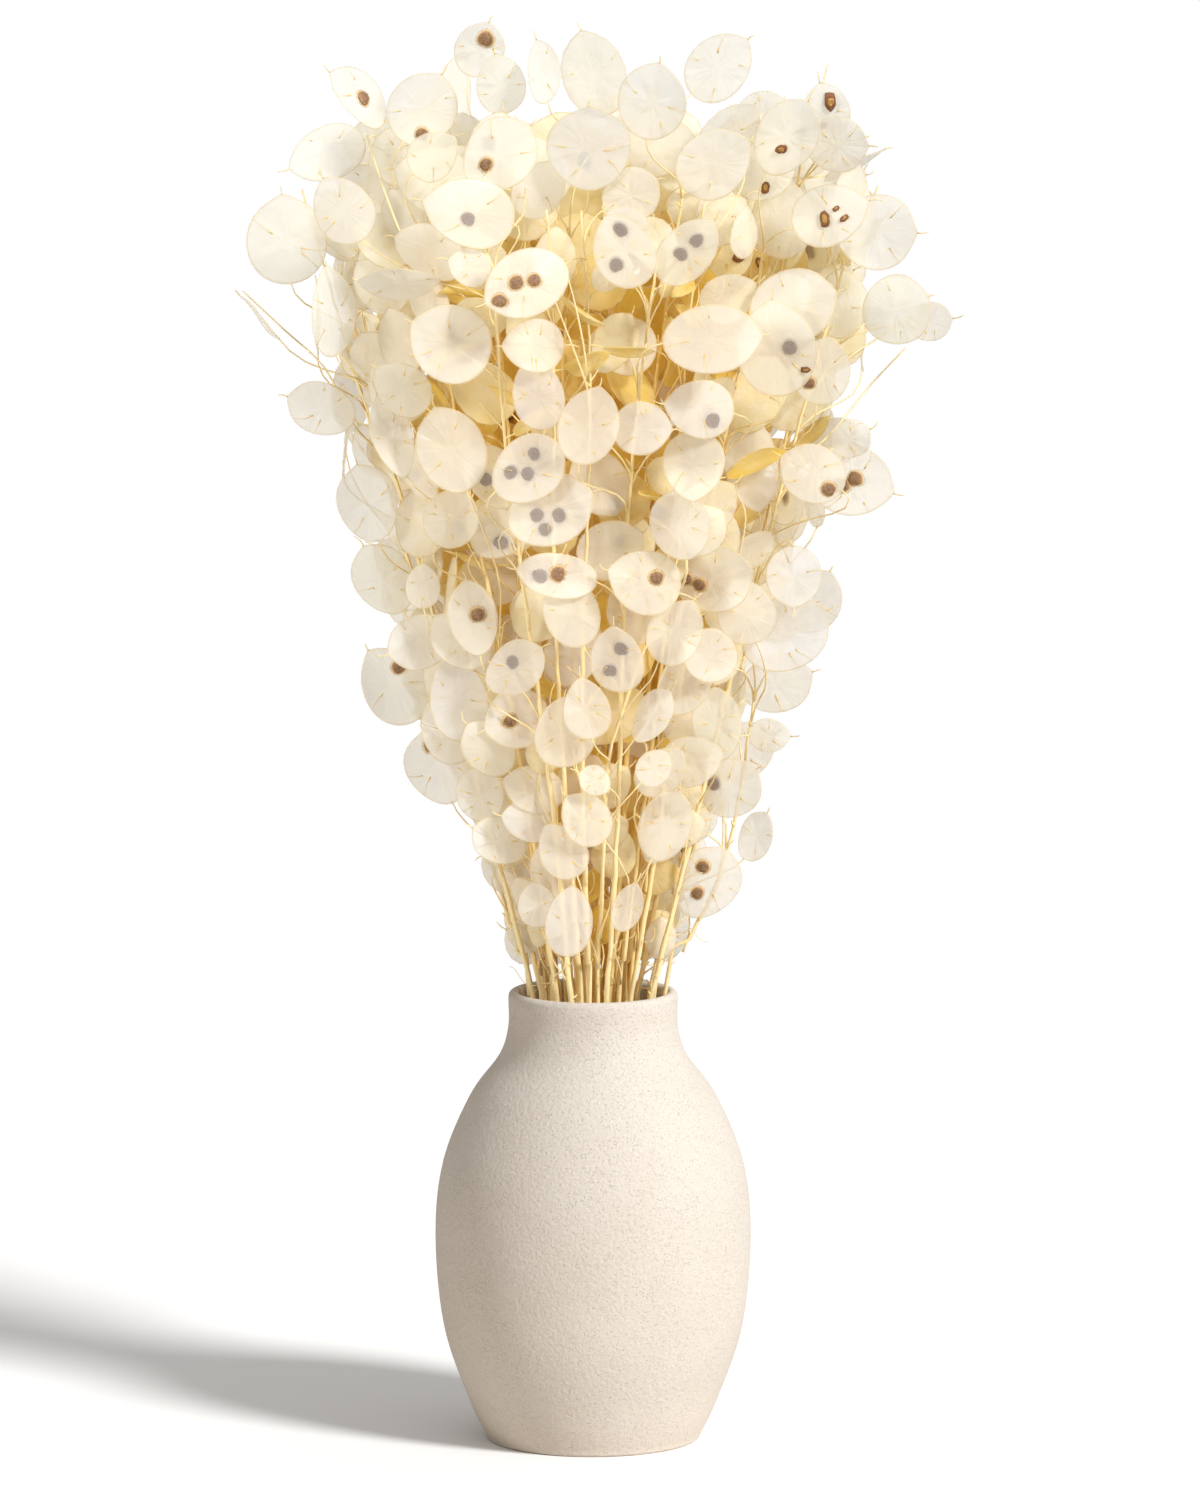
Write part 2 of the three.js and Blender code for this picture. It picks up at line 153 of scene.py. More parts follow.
studio = {
    "keyTurn": 49,  # degrees to the right of the front
    "keyRise": 34,
    "keyFar": 3,
    "keyWidth": 13,  # how large the key looks from the object, in degrees
    "keyPower": 3.65,
    "keyColour": (1.0, 0.995, 0.985),
    "fillPower": 0.27,
    "fillLean": (0.45, 0.05, 1.3),  # brighter from above and from the right
    "fillColour": (1.0, 0.99, 0.975),
    "panelAt": (-1.75, -1.25, 1.2),  # metres
    "panelAim": (-0.08, 0.0, 0.53),
    "panelPower": 370,
    "panelColour": (1.0, 0.995, 0.98),
    "panelWidth": 15.8,  # degrees
    "panelBlend": 1.0,
    "panelRadius": 0.35,  # metres
    "warmAt": (-3.0, -0.9, 0.35),
    "warmAim": (0.0, 0.0, 0.1),
    "warmPower": 0.33,
    "warmWidth": 50,  # degrees
    "warmColour": (1.0, 0.84, 0.66),
    "roomColour": (1, 1, 1),
    "floorColour": (0.92, 0.92, 0.92),
    "floorBounce": (0.86, 0.8, 0.73),  # what it sends back up
    "floorHalf": 1.3,  # metres
}


def makeCamera():
    eye = Vector(view["eye"])
    data = bpy.data.cameras.new("camera")
    data.sensor_width = view["sensor"]
    data.lens = view["focal"] / max(view["frame"]) * data.sensor_width
    data.clip_end = view["clipEnd"]
    camera = bpy.data.objects.new("camera", data)
    aside = (view["frame"][0] / 2 - view["axisAcross"]) / view["focal"]
    camera.location = eye
    camera.rotation_euler = (math.radians(90 - view["pitch"]), 0, -math.atan(aside))
    bpy.context.scene.collection.objects.link(camera)
    bpy.context.scene.camera = camera


def addLamp(name, kind, at, aim, **settings):
    data = bpy.data.lights.new(name, kind)
    data.energy, data.color = studio[f"{name}Power"], studio[f"{name}Colour"]
    for key, value in settings.items():
        setattr(data, key, value)
    lamp = bpy.data.objects.new(name, data)
    lamp.location = at
    lamp.rotation_euler = (lamp.location - Vector(aim)).to_track_quat("Z", "Y").to_euler()
    bpy.context.scene.collection.objects.link(lamp)


def makeStudio():
    scene = bpy.context.scene
    turn, rise = math.radians(studio["keyTurn"]), math.radians(studio["keyRise"])
    toKey = Vector((math.sin(turn) * math.cos(rise), -math.cos(turn) * math.cos(rise), math.sin(rise)))
    lamps = "key", "panel", "warm"
    keyAngle, panelAngle, warmAngle = (math.radians(studio[f"{lamp}Width"]) for lamp in lamps)
    addLamp("key", "SUN", toKey * studio["keyFar"], (0, 0, 0), angle=keyAngle)
    # A weak soft lamp from the left for the bunch, and a faint warm one for the vase
    addLamp("panel", "SPOT", studio["panelAt"], studio["panelAim"], spot_size=panelAngle,
            spot_blend=studio["panelBlend"], shadow_soft_size=studio["panelRadius"])
    addLamp("warm", "SUN", studio["warmAt"], studio["warmAim"], angle=warmAngle)

    # A white room, a little brighter to one side. It looks plain white itself, and lights the object less.
    scene.world = startTree(bpy.data.worlds.new("whiteRoom"))
    way = add("TexCoord", out="Generated")
    lean = add("VectorMath", {0: way, 1: studio["fillLean"]}, "Value", operation="DOT_PRODUCT")
    power = add("Math", {0: lean, 1: studio["fillPower"], 2: studio["fillPower"]}, operation="MULTIPLY_ADD")
    fill = add("Background", {"Color": studio["fillColour"], "Strength": power})
    add("OutputWorld", {"Surface": seenAs(add("Background", {"Color": studio["roomColour"]}), fill)})
    scene.view_settings.view_transform = "Standard"

    half = studio["floorHalf"]
    mesh = bpy.data.meshes.new("floor")
    corners = [(x * half, y * half, 0) for x, y in ((-1, -1), (1, -1), (1, 1), (-1, 1))]
    mesh.from_pydata(corners, [], [(0, 1, 2, 3)])
    floor = bpy.data.objects.new("floor", mesh)
    paper = startTree(bpy.data.materials.new("floorPaper"))
    seen = add("BsdfDiffuse", {"Color": studio["floorColour"]})
    bounce = add("BsdfDiffuse", {"Color": studio["floorBounce"]})
    mesh.materials.append(finishMaterial(paper, seenAs(seen, bounce)))
    scene.collection.objects.link(floor)
    floor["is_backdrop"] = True


makeCamera()
makeStudio()
print("camera, light and floor")

# ---- Shared arithmetic ----

fullTurn = 2 * math.pi
goldenAngle = math.pi * (3 - math.sqrt(5))
tiny = 1e-6
wordSpan = 2 ** 32
counterStep = 0x6D2B79F5

# The number that the draws for each kind of thing start from
firstDraw = {
    "tip": 77,
    "frontPod": 500,
    "stemPod": 9000,
    "innerPod": 20000,
    "husk": 30000,
    "fineStem": 40000,
    "spurs": 50000,
    "fray": 55000,
    "manner": 60000,
    "threads": 70000,
    "beak": 80000,
    "stalk": 90000,
    "seed": 110000,
    "filling": 200000,
    "backPod": 300000,
}


# Even draws from 0 to 1, the same ones for the same thing: each turns a counter over by shifts and products
def draws(kind, number):
    state = firstDraw[kind] + number

    def draw():
        nonlocal state
        state = (state + counterStep) % wordSpan
        mixed = (state ^ (state >> 15)) * (state | 1) % wordSpan
        mixed ^= (mixed + (mixed ^ (mixed >> 7)) * (mixed | 61) % wordSpan) % wordSpan
        return (mixed ^ (mixed >> 14)) / wordSpan

    return draw


# A small turn to any side
def randomTilt(draw, most):
    return (np.array([draw(), draw(), draw()]) - 0.5) * most


def drawSize(plan, draw, scale=1):
    length = within(plan["length"], draw()) * scale
    return length, length * within(plan["widthShare"], draw())


# The value at a share of the way from one end to the other
def within(ends, share):
    return ends[0] + (ends[1] - ends[0]) * share


# The sum of the products of the last axis
def dot(one, other):
    return (one * other).sum(-1)


# Vectors over their lengths
def unit(vectors):
    return vectors / np.linalg.norm(vectors, axis=-1, keepdims=True)


# 3 s^2 - 2 s^3 of the share s of the way from low to high
def smoothed(low, high, value):
    share = np.clip((value - low) / (high - low), 0, 1)
    return share * share * (3 - 2 * share)


# The way that a turn from +X points, with a rise, and the turn of a point about the axis
def headed(turn, rise=0):
    return np.array([math.cos(turn), math.sin(turn), rise])


def turnOf(point):
    return math.atan2(point[1], point[0])


# Equal turns round a ring, from 0
def ringTurns(count):
    return fullTurn * np.arange(count) / count


# ---- Where the stems run ----

# Half widths of the whole bunch: a cone from the vase's mouth to the shoulder, a dome above it
bunch = {
    "mouthHeight": 206,
    "mouthHalf": 30,
    "shoulderHeight": 525,
    "shoulderHalf": 152,
    "top": 656,
    "depth": 0.86,
    "domePower": 2.2,
    "topDepth": 218,
}

stem = {
    "count": 30,
    "foot": 8.3,  # its height in the vase
    "footSpread": 19,
    "neckSpread": 30.5,
    "flare": 0.292,
    "footRadius": 1.5,
    "tipRadius": 0.85,
    "rings": 6,  # straight lengths that twigs are set on
    "firstRing": 205,
    "highestTip": 612,
    "tipFall": 62,
    "tipDraw": 34,
    "sway": 5,
    "swayWave": 68,
    "swayTurn": 2.4,
}


def coneShare(z):
    return (z - bunch["mouthHeight"]) / (bunch["shoulderHeight"] - bunch["mouthHeight"])


def bunchHalf(z):
    if z < bunch["shoulderHeight"]:
        return within((bunch["mouthHalf"], bunch["shoulderHalf"]), coneShare(z))
    rise = min(1, (z - bunch["shoulderHeight"]) / (bunch["top"] - bunch["shoulderHeight"]))
    return bunch["shoulderHalf"] * math.sqrt(1 - rise ** bunch["domePower"])


def around(i):
    return i * goldenAngle


def spreadShare(i):
    return math.sqrt((i + 0.5) / stem["count"])


# Points of stem i at the heights z: out from the axis in its own direction by its share of a spread that
# grows with height, and swayed sideways by a sine
def stemPoints(i, z, turn=None, share=None):
    z = np.asarray(z, float)
    turn = around(i) if turn is None else turn
    share = spreadShare(i) if share is None else share
    above = np.maximum(0, z - bunch["mouthHeight"])
    inside = np.minimum(1, z / bunch["mouthHeight"])
    reach = share * (within((stem["footSpread"], stem["neckSpread"]), inside) + stem["flare"] * above)
    sway = stem["sway"] * np.sin(z / stem["swayWave"] + stem["swayTurn"] * i) * above
    sway = sway / (bunch["shoulderHeight"] - bunch["mouthHeight"])
    x = reach * math.cos(turn) - sway * math.sin(turn)
    y = bunch["depth"] * (reach * math.sin(turn) + sway * math.cos(turn))
    return np.stack([x, y, z], -1)


def stemTip(i):
    return stem["highestTip"] - stem["tipFall"] * spreadShare(i) ** 2 - stem["tipDraw"] * draws("tip", i)()


# The straight lengths of a stem: its foot, and even steps from the first ring to its tip
def stemPath(i):
    rings = np.arange(stem["rings"] + 1) / stem["rings"]
    heights = np.concatenate([[stem["foot"]], within((stem["firstRing"], stemTip(i)), rings)])
    return stemPoints(i, heights)


stems = [stemPath(i) for i in range(stem["count"])]
tips = [stemTip(i) for i in range(stem["count"])]


# The point of stem i at a height, and the way the stem runs there
def onStem(i, z):
    path = stems[i]
    high = int(np.argmax(path[:, 2] >= z - tiny))
    low = path[high - 1]
    run = path[high] - low
    return low + run * ((z - low[2]) / run[2]), unit(run)


# ---- Clearances between pods, stems and stalks ----

stalk = {
    "rootRadius": 0.55,
    "sunk": 2.5,
    "riseShare": 0.35,
    "bendShare": 0.4,
    "lowestRoot": 215,
    "belowTip": 1,
}

room = {"wall": 0.9, "clear": 0.55, "beak": 1.2, "loop": 9, "outside": 99}
rimTurns = np.radians([-160, -120, -80, -40, 0, 40, 80, 120, 160])

pods = []
podRows = {}  # the same pods as arrays
loads = {}  # how many of them each stem bears
sticks = {
    "start": np.zeros((0, 3)),
    "end": np.zeros((0, 3)),
    "radius": np.zeros(0),
    "spray": np.zeros(0, int),
}


def addSticks(path, radius, spray):
    count = len(path) - 1
    sticks["start"] = np.concatenate([sticks["start"], path[:-1]])
    sticks["end"] = np.concatenate([sticks["end"], path[1:]])
    sticks["radius"] = np.concatenate([sticks["radius"], np.full(count, float(radius))])
    sticks["spray"] = np.concatenate([sticks["spray"], np.full(count, spray)])


# A pod: an oval wall with its centre, the way from base to beak (u), across (v) and out of its face (w)
def makePod(centre, along, facing, length, width):
    u = unit(along)
    w = unit(facing - u * dot(facing, u))
    pod = {"centre": centre, "u": u, "v": np.cross(w, u), "w": w, "long": length / 2, "wide": width / 2}
    a = pod["long"] * np.cos(rimTurns) + np.where(rimTurns == 0, room["beak"], 0)
    b = pod["wide"] * np.sin(rimTurns)
    pod["rim"] = centre + a[:, None] * u + b[:, None] * pod["v"]
    pod["seeds"] = []
    return pod


def onPod(pod, a, b):
    return pod["centre"] + pod["u"] * a + pod["v"] * b


# True where a straight piece comes nearer than the gap to a pod's wall: the stretch of it that is within
# the gap of the pod's plane reaches into the oval grown by the gap
def meetsPod(start, end, pod, gap):
    a = start - pod["centre"]
    b = end - pod["centre"]
    height = dot(a, pod["w"])
    rise = dot(b, pod["w"]) - height
    rise = np.where(rise == 0, tiny, rise)
    enter = (-gap - height) / rise
    leave = (gap - height) / rise
    first = np.maximum(0, np.minimum(enter, leave))
    last = np.minimum(1, np.maximum(enter, leave))
    x = dot(a, pod["u"]) / (pod["long"] + gap)
    y = dot(a, pod["v"]) / (pod["wide"] + gap)
    runX = dot(b, pod["u"]) / (pod["long"] + gap) - x
    runY = dot(b, pod["v"]) / (pod["wide"] + gap) - y
    nearest = -(x * runX + y * runY) / (runX * runX + runY * runY + tiny)
    nearest = np.minimum(np.maximum(nearest, first), last)
    return (first < last) & (np.hypot(x + nearest * runX, y + nearest * runY) < 1)


# Of the pods near enough to touch, whether the rim of either goes through the other
def podMeetsPods(pod):
    if not pods:
        return False
    gap = room["wall"] + room["clear"]
    apart = np.linalg.norm(podRows["centre"] - pod["centre"], axis=1)
    near = apart <= podRows["long"] + pod["long"] + room["beak"] + gap
    if not near.any():
        return False
    others = {key: values[near] for key, values in podRows.items()}
    rim = pod["rim"][:, None]
    if meetsPod(rim, np.roll(rim, -1, axis=0), others, gap).any():
        return True
    return bool(meetsPod(others["rim"], np.roll(others["rim"], -1, axis=1), pod, gap).any())


# The shortest way between one straight piece and each of several others
def stickGap(start, end, others):
    run = end - start
    other = others["end"] - others["start"]
    between = start - others["start"]
    runSquare, otherSquare = dot(run, run), dot(other, other)
    cross = dot(run, other)
    spread = runSquare * otherSquare - cross * cross
    first = (cross * dot(other, between) - dot(run, between) * otherSquare) / (spread + tiny)
    across = np.clip((cross * np.clip(first, 0, 1) + dot(other, between)) / otherSquare, 0, 1)
    along = np.clip((cross * across - dot(run, between)) / runSquare, 0, 1)
    return np.linalg.norm(between + run * along[:, None] - other * across[:, None], axis=1)


def podIsClear(pod):
    if podMeetsPods(pod):
        return False
    gap = sticks["radius"] + room["wall"] / 2 + room["clear"]
    if meetsPod(sticks["start"], sticks["end"], pod, gap).any():
        return False
    beak = onPod(pod, pod["long"], 0), onPod(pod, pod["long"] + room["beak"], 0)
    return not (stickGap(*beak, sticks) < gap).any()


# The leading points of a path, up to where it would first meet a pod or another spray. It may touch its own
# spray, which it is grown to
def clearLength(path, radius, spray, gap):
    reach = radius + gap
    others = {key: values[sticks["spray"] != spray] for key, values in sticks.items()}
    for k, (start, end) in enumerate(zip(path[:-1], path[1:])):
        if pods and meetsPod(start, end, podRows, reach + room["wall"] / 2).any():
            return k + 1
        if (stickGap(start, end, others) <= others["radius"] + reach).any():
            return k + 1
    return len(path)


# A cubic Bezier curve through its four points, at even steps of its parameter
def bezier(points, steps):
    t = np.linspace(0, 1, steps + 1)[:, None]
    a, b, c, d = points
    return (1 - t) ** 3 * a + 3 * (1 - t) ** 2 * t * b + 3 * (1 - t) * t * t * c + t ** 3 * d


# A stalk: out of the stem at a height, along it at first, and into the pod's base along the pod
def stalkCurve(pod, spray, height):
    root, rising = onStem(spray, height)
    base = onPod(pod, -pod["long"], 0)
    far = np.linalg.norm(root - base)
    return [
        root,
        root + rising * stalk["riseShare"] * far,
        base - pod["u"] * stalk["bendShare"] * far,
        base + pod["u"] * stalk["sunk"],
    ]


# How much further it is along a curve's control points than straight from its first to its last
def loopOf(curve):
    return np.linalg.norm(np.diff(curve, axis=0), axis=1).sum() / np.linalg.norm(curve[-1] - curve[0])


# How far the middle of a curve stands out of the bunch
def outsideBy(curve):
    x, y, z = bezier(curve, 2)[1]
    return math.hypot(x, y / bunch["depth"]) - bunchHalf(z)


# Keeps the pod if its stalk is clear too, and says whether it did
def keepPod(pod, curve, steps, spray):
    path = bezier(curve, steps)
    if loopOf(curve) > room["loop"] or outsideBy(curve) > room["outside"]:
        return False
    if clearLength(path, stalk["rootRadius"], spray, room["clear"]) < len(path):
        return False
    pod["spray"], pod["stalk"] = spray, curve
    pods.append(pod)
    loads[spray] = loads.get(spray, 0) + 1
    for key in ("centre", "u", "v", "w", "long", "wide", "rim"):
        row = np.asarray(pod[key], float)[None]
        podRows[key] = np.concatenate([podRows[key], row]) if key in podRows else row
    addSticks(path, stalk["rootRadius"], spray)
    return True


# ---- Laying out the pods ----

# How a front pod finds its depth, its small tilts and a twig to a stem near it
frontFit = {
    "proud": 14,
    "shallowest": 0.8,
    "depthDraw": 0.12,
    "sideMost": 0.97,
    "step": 3,
    "steps": 50,
    "lean": -0.25,
    "leanDraw": 0.3,
    "tiltDraw": 0.35,
    "facesUp": 0.1,
    "stemsTried": 7,
    "loadCost": 2.5,
    "drops": [28, 42, 60, 82, 16],
    "twigSteps": 2,
    "layeredOrder": 200,  # where the pods just behind the front ones start to count
}

# Pods that a stem carries on short stalks to both sides, more of them on the back than on the front
stemPods = {
    "inner": 3,
    "outer": 3.2,
    "moreBehind": 2.6,
    "innerShare": 0.55,
    "lowest": 248,
    "innerRise": 640,
    "leastRun": 85,
    "length": (27, 41),
    "widthShare": (0.72, 0.92),
    "lift": (12, 74),
    "swing": (35, 120),
    "stalkLength": (9, 18),
    "faceDraw": 0.9,
    "headroom": 0.25,
    "seedDraw": 14,
    "seedless": 12,
    "seedAlong": 0.3,
    "seedAcross": 0.36,
    "tries": 14,
}

seed = {"radius": 3.3, "thickness": 1.5}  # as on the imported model

eye = np.array(view["eye"]) / mm


# Where the line of sight through x and z at y = 0 comes to a depth y, and the share of its length up to there
def inSight(x, z, y):
    share = 1 - y / eye[1]
    return eye + (np.array([x, 0, z]) - eye) * share, share


# Where a line of sight goes through the planes of pods, along and across each of them
def crossing(x, z, pod, least=0.0):
    ray = np.array([x, 0, z]) - eye
    reach = dot(pod["centre"] - eye, pod["w"]) / (dot(ray, pod["w"]) + least)
    spot = eye + ray * reach[..., None] - pod["centre"]
    return dot(spot, pod["u"]), dot(spot, pod["v"])


# The front pods, the foremost first: x and z where the line of sight meets the plane y = 0, length,
# width, the turn of base to beak from +X, and how far the pod is turned about that line
frontPods = [
    [-20, 432, 43, 33, 25], [-2, 471, 37, 28, 75], [-30, 451, 39, 30, 35], [-42, 425, 37, 28, 45],
    [-35, 336, 30, 28, 200], [-36, 359, 33, 24, 40], [11, 363, 34, 25, 95], [-10, 385, 35, 26, 110],
    [-16, 402, 38, 21, 170], [24, 399, 36, 30, 160], [55, 400, 38, 31, 20], [54, 365, 27, 25, 150],
    [54, 511, 45, 32, 5], [14, 508, 32, 27, 170], [14, 551, 36, 28, 115], [-30, 537, 42, 31, 205],
    [-56, 569, 43, 32, 165], [-25, 485, 34, 24, 100], [49, 479, 34, 27, 170], [46, 453, 32, 29, 270],
    [88, 375, 42, 34, 30], [92, 402, 28, 26, 270], [101, 449, 33, 27, 150], [118, 446, 40, 33, 345],
    [72, 455, 45, 25, 280], [3, 445, 32, 27, 300], [22, 470, 28, 25, 0], [-11, 241, 34, 22, 85],
    [-3, 289, 28, 23, 130], [52, 259, 37, 30, 60], [33, 286, 38, 24, 70], [33, 237, 34, 22, 80],
    [-29, 289, 26, 21, 170], [-24, 316, 37, 33, 260], [-29, 266, 34, 23, 10], [57, 333, 35, 23, 95],
    [63, 303, 32, 27, 40], [75, 281, 24, 20, 65, 40], [-43, 595, 38, 32, 45], [-78, 616, 35, 32, 60],
    [27, 619, 37, 32, 80], [57, 635, 36, 28, 45], [-2, 598, 41, 39, 90], [55, 591, 39, 31, 35],
    [43, 551, 38, 24, 50], [108, 568, 36, 28, 20], [129, 560, 37, 35, 0], [88, 603, 39, 28, 60],
    [106, 614, 28, 23, 100], [84, 506, 46, 37, 95], [105, 496, 32, 26, 80], [91, 526, 41, 34, 20],
    [138, 524, 33, 32, 25], [154, 519, 21, 18, 10], [-52, 643, 26, 23, 70], [-42, 627, 28, 23, 100],
    [-23, 633, 29, 24, 100, 50], [-106, 622, 35, 27, 137, 40], [-121, 596, 37, 25, 200],
    [-140, 556, 41, 37, 95], [-114, 570, 35, 27, 120], [-119, 523, 42, 27, 95, 35], [-65, 509, 41, 36, 150],
    [-27, 508, 28, 25, 180], [-65, 460, 41, 32, 110], [-124, 479, 32, 24, 160], [-103, 435, 37, 28, 105],
    [-65, 428, 29, 26, 60], [-55, 382, 36, 23, 100], [-91, 351, 40, 31, 125], [-62, 345, 45, 27, 100],
    [-71, 313, 38, 30, 110], [-152, 521, 28, 18, 128, 80],
]

# The front seeds, placed in the same way, with a 0 for those on the near face of their pod, a 1 for those on
# the far face, and a 2 and a size for broken ones that hold scraps of husk
frontSeeds = [
    [-49, 648, 0], [-105, 621, 0], [-78, 605, 0], [-89, 603, 0], [-49, 591, 0], [-57, 566, 1],
    [86, 598, 2, 0.8], [108, 620, 2, 1.15], [105, 609, 2, 0.5], [106, 566, 2, 1.0], [115, 566, 2, 0.6],
    [111, 571, 2, 0.45], [13, 561, 1], [11, 545, 1],
    [47, 556, 1], [40, 550, 1], [90, 507, 1], [99, 491, 0], [-35, 537, 0], [-27, 538, 0], [-42, 529, 0],
    [-53, 544, 1], [55, 474, 1], [108, 442, 0], [114, 444, 0], [120, 447, 0], [-27, 458, 1], [-30, 449, 1],
    [-38, 450, 1], [-26, 430, 1], [-16, 430, 1], [-22, 423, 1], [-42, 417, 1], [-24, 402, 1], [-16, 403, 0],
    [29, 401, 0], [49, 398, 0], [43, 401, 0], [-89, 360, 0], [-37, 362, 1], [-38, 335, 0], [13, 368, 1],
    [8, 358, 1], [29, 341, 1], [27, 334, 1], [-74, 323, 0], [55, 306, 1], [51, 267, 0], [48, 255, 0],
    [-53, 384, 0],
]

# Smaller pods that fill in between the front ones
betweenPods = [
    [1, 267, 29, 18, 0], [28, 313, 19, 16, 50], [118, 465, 20, 18, 30], [-56, 287, 21, 15, 250, 30],
    [107, 409, 25, 22, 300], [-35, 374, 28, 23, 30], [-56, 544, 21, 18, 160], [-73, 595, 27, 22, 40],
    [17, 577, 29, 25, 30], [-88, 537, 38, 26, 175, 50], [-92, 466, 41, 27, 110, 45],
    [27, 337, 28, 21, 55, 40], [111, 600, 30, 26, 0], [77, 614, 26, 21, 20], [-26, 249, 23, 18, 100],
    [-22, 275, 25, 18, 170, 30], [1, 307, 16, 14, 150], [81, 328, 19, 16, 0], [-87, 488, 30, 23, 140],
    [-80, 450, 30, 23, 110, 45], [-78, 397, 21, 16, 90],
]


# A front pod starts at the bunch's front and moves in along the line of sight until all of it is clear
def placeFrontPod(place, order):
    x, z, length, width, roll, turn = [*place, 0][:6]
    draw = draws("frontPod", order)
    lean = frontFit["lean"] + frontFit["leanDraw"] * (draw() - 0.5)
    tilt = frontFit["tiltDraw"] * (draw() - 0.5)
    tilt += (-1 if draw() < 0.5 else 1) * math.tan(math.radians(turn))
    inward = frontFit["shallowest"] + frontFit["depthDraw"] * draw()
    side = min(frontFit["sideMost"], abs(x) / bunchHalf(z))
    front = -bunch["depth"] * (bunchHalf(z) + frontFit["proud"]) * math.sqrt(1 - side * side) * inward
    roll = math.radians(roll)
    along = np.array([math.cos(roll), lean, math.sin(roll)])
    facing = np.array([-along[2] * tilt, -1, frontFit["facesUp"] + along[0] * tilt])
    for step in range(frontFit["steps"]):
        centre, near = inSight(x, z, front + step * frontFit["step"])
        pod = makePod(centre, along, facing, length * near, width * near)
        if podIsClear(pod) and findTwig(pod):
            pod["front"] = True
            return


# The nearest and least loaded stem that a twig can reach the pod from, tried at several heights
def findTwig(pod):
    base = onPod(pod, -pod["long"], 0)

    def rootHeight(i, drop):
        return min(tips[i] - stalk["belowTip"], max(stalk["lowestRoot"], base[2] - drop))

    def cost(i):
        near = np.linalg.norm(onStem(i, rootHeight(i, frontFit["drops"][0]))[0] - base)
        return near + frontFit["loadCost"] * loads.get(i, 0)

    nearest = sorted(range(len(stems)), key=cost)[: frontFit["stemsTried"]]
    for i in nearest:
        for drop in frontFit["drops"]:
            if keepPod(pod, stalkCurve(pod, i, rootHeight(i, drop)), frontFit["twigSteps"], i):
                return True
    return False


# A seed sits on the first of the pods that its line of sight goes through, well inside the rim
def placeFrontSeed(place, among):
    x, z, *kind = place
    for pod in among:
        a, b = crossing(x, z, pod)
        if math.hypot(a / (pod["long"] - seed["radius"]), b / (pod["wide"] - seed["radius"])) < 1:
            pod["seeds"].append((a, b, *kind))
            return


# Hangs a pod on stem i at a height, out to its left and right by turns until there is room for it
def hangPod(i, height, size, plan, draw, turn, steps, first=0):
    for t in range(first, first + plan["tries"]):
        lift = math.radians(within(plan["lift"], draw()))
        swing = turn + (1 if t % 2 else -1) * math.radians(within(plan["swing"], draw()))
        level = headed(swing, math.tan(lift))
        facing = randomTilt(draw, plan["faceDraw"]) + headed(turn)
        reach = within(plan["stalkLength"], draw()) + size[0] / 2
        centre = onStem(i, height)[0] + unit(level) * reach
        pod = makePod(centre, level, facing, *size)
        headroom = bunchHalf(centre[2]) - math.hypot(centre[0], centre[1] / bunch["depth"])
        least = plan["headroom"] + (plan.get("frontRoom", 0) if centre[1] < 0 else 0)
        if headroom > least * size[0] and podIsClear(pod):
            if keepPod(pod, stalkCurve(pod, i, height), steps, i):
                return pod
    return None


# A stem's own pods, from its tip down, with faces turned outwards
def placeStemPods(i):
    inner = spreadShare(i) < stemPods["innerShare"]
    outerCount = stemPods["outer"] + stemPods["moreBehind"] * math.sin(around(i))
    count = math.floor((stemPods["inner"] if inner else outerCount) + 0.5)
    tip = tips[i] - stalk["belowTip"]
    low = min(tip - stemPods["leastRun"], stemPods["lowest"] + (1 - spreadShare(i)) * stemPods["innerRise"])
    for k in range(count):
        draw = draws("stemPod", 100 * i + k)
        down = 0 if k == 0 else (k + draw() / 2) / (count - 0.5)
        height = within((tip, low), down)
        size = drawSize(stemPods, draw)
        seedCount = math.floor(stemPods["seedDraw"] * draw()) - stemPods["seedless"]
        pod = hangPod(i, height, size, stemPods, draw, around(i), 1, k)
        for s in range(seedCount if pod else 0):
            turn = goldenAngle * s + fullTurn * draw()
            a = stemPods["seedAlong"] * pod["long"] * math.cos(turn)
            b = stemPods["seedAcross"] * pod["wide"] * math.sin(turn)
            pod["seeds"].append((a, b, 0))


for i, path in enumerate(stems):
    addSticks(path, stem["footRadius"], i)
for order, place in enumerate(frontPods):
    placeFrontPod(place, order)
for place in frontSeeds:
    placeFrontSeed(place, pods)
for i in reversed(range(stem["count"])):
    placeStemPods(i)
podsOfModel = len(pods)
print("layout of the packed model's sprays:", podsOfModel, "pods")

# ---- What stands and hangs between the modelled sprays ----

# These are as thin as the real ones, and may hang closer
room.update(wall=0.4, clear=0.3, loop=1.4, outside=2)

# Thin stems between the main ones, each as tall as it finds a clear way
fineStem = {
    "count": 22,
    "radius": 1.15,
    "tipRadius": 0.5,
    "shares": (0.05, 0.96),
    "ringStep": 22,
    "lowestTip": 290,
    "highestTip": 590,
    "tries": 40,
    "gap": 0.25,
}

# Bare stems that stand in front, from low to high: x and z where the line of sight meets the plane y = 0
frontStems = [
    [[33, 209], [44, 233], [58, 261], [67, 298], [71, 325], [74, 345]],
    [[-34, 209], [-44, 256], [-59, 305], [-72, 344], [-86, 391], [-95, 419], [-99, 426]],
    [[-28, 209], [-37, 248], [-50, 300], [-60, 345], [-68, 381], [-80, 420], [-96, 462]],
    [[2, 209], [4, 250], [6, 300], [9, 325], [24, 368], [33, 382], [42, 400]],
    [[12, 209], [14, 262], [7, 330], [6, 395], [12, 430], [22, 461]],
    [[17, 209], [24, 250], [26, 300], [38, 352], [47, 390]],
]

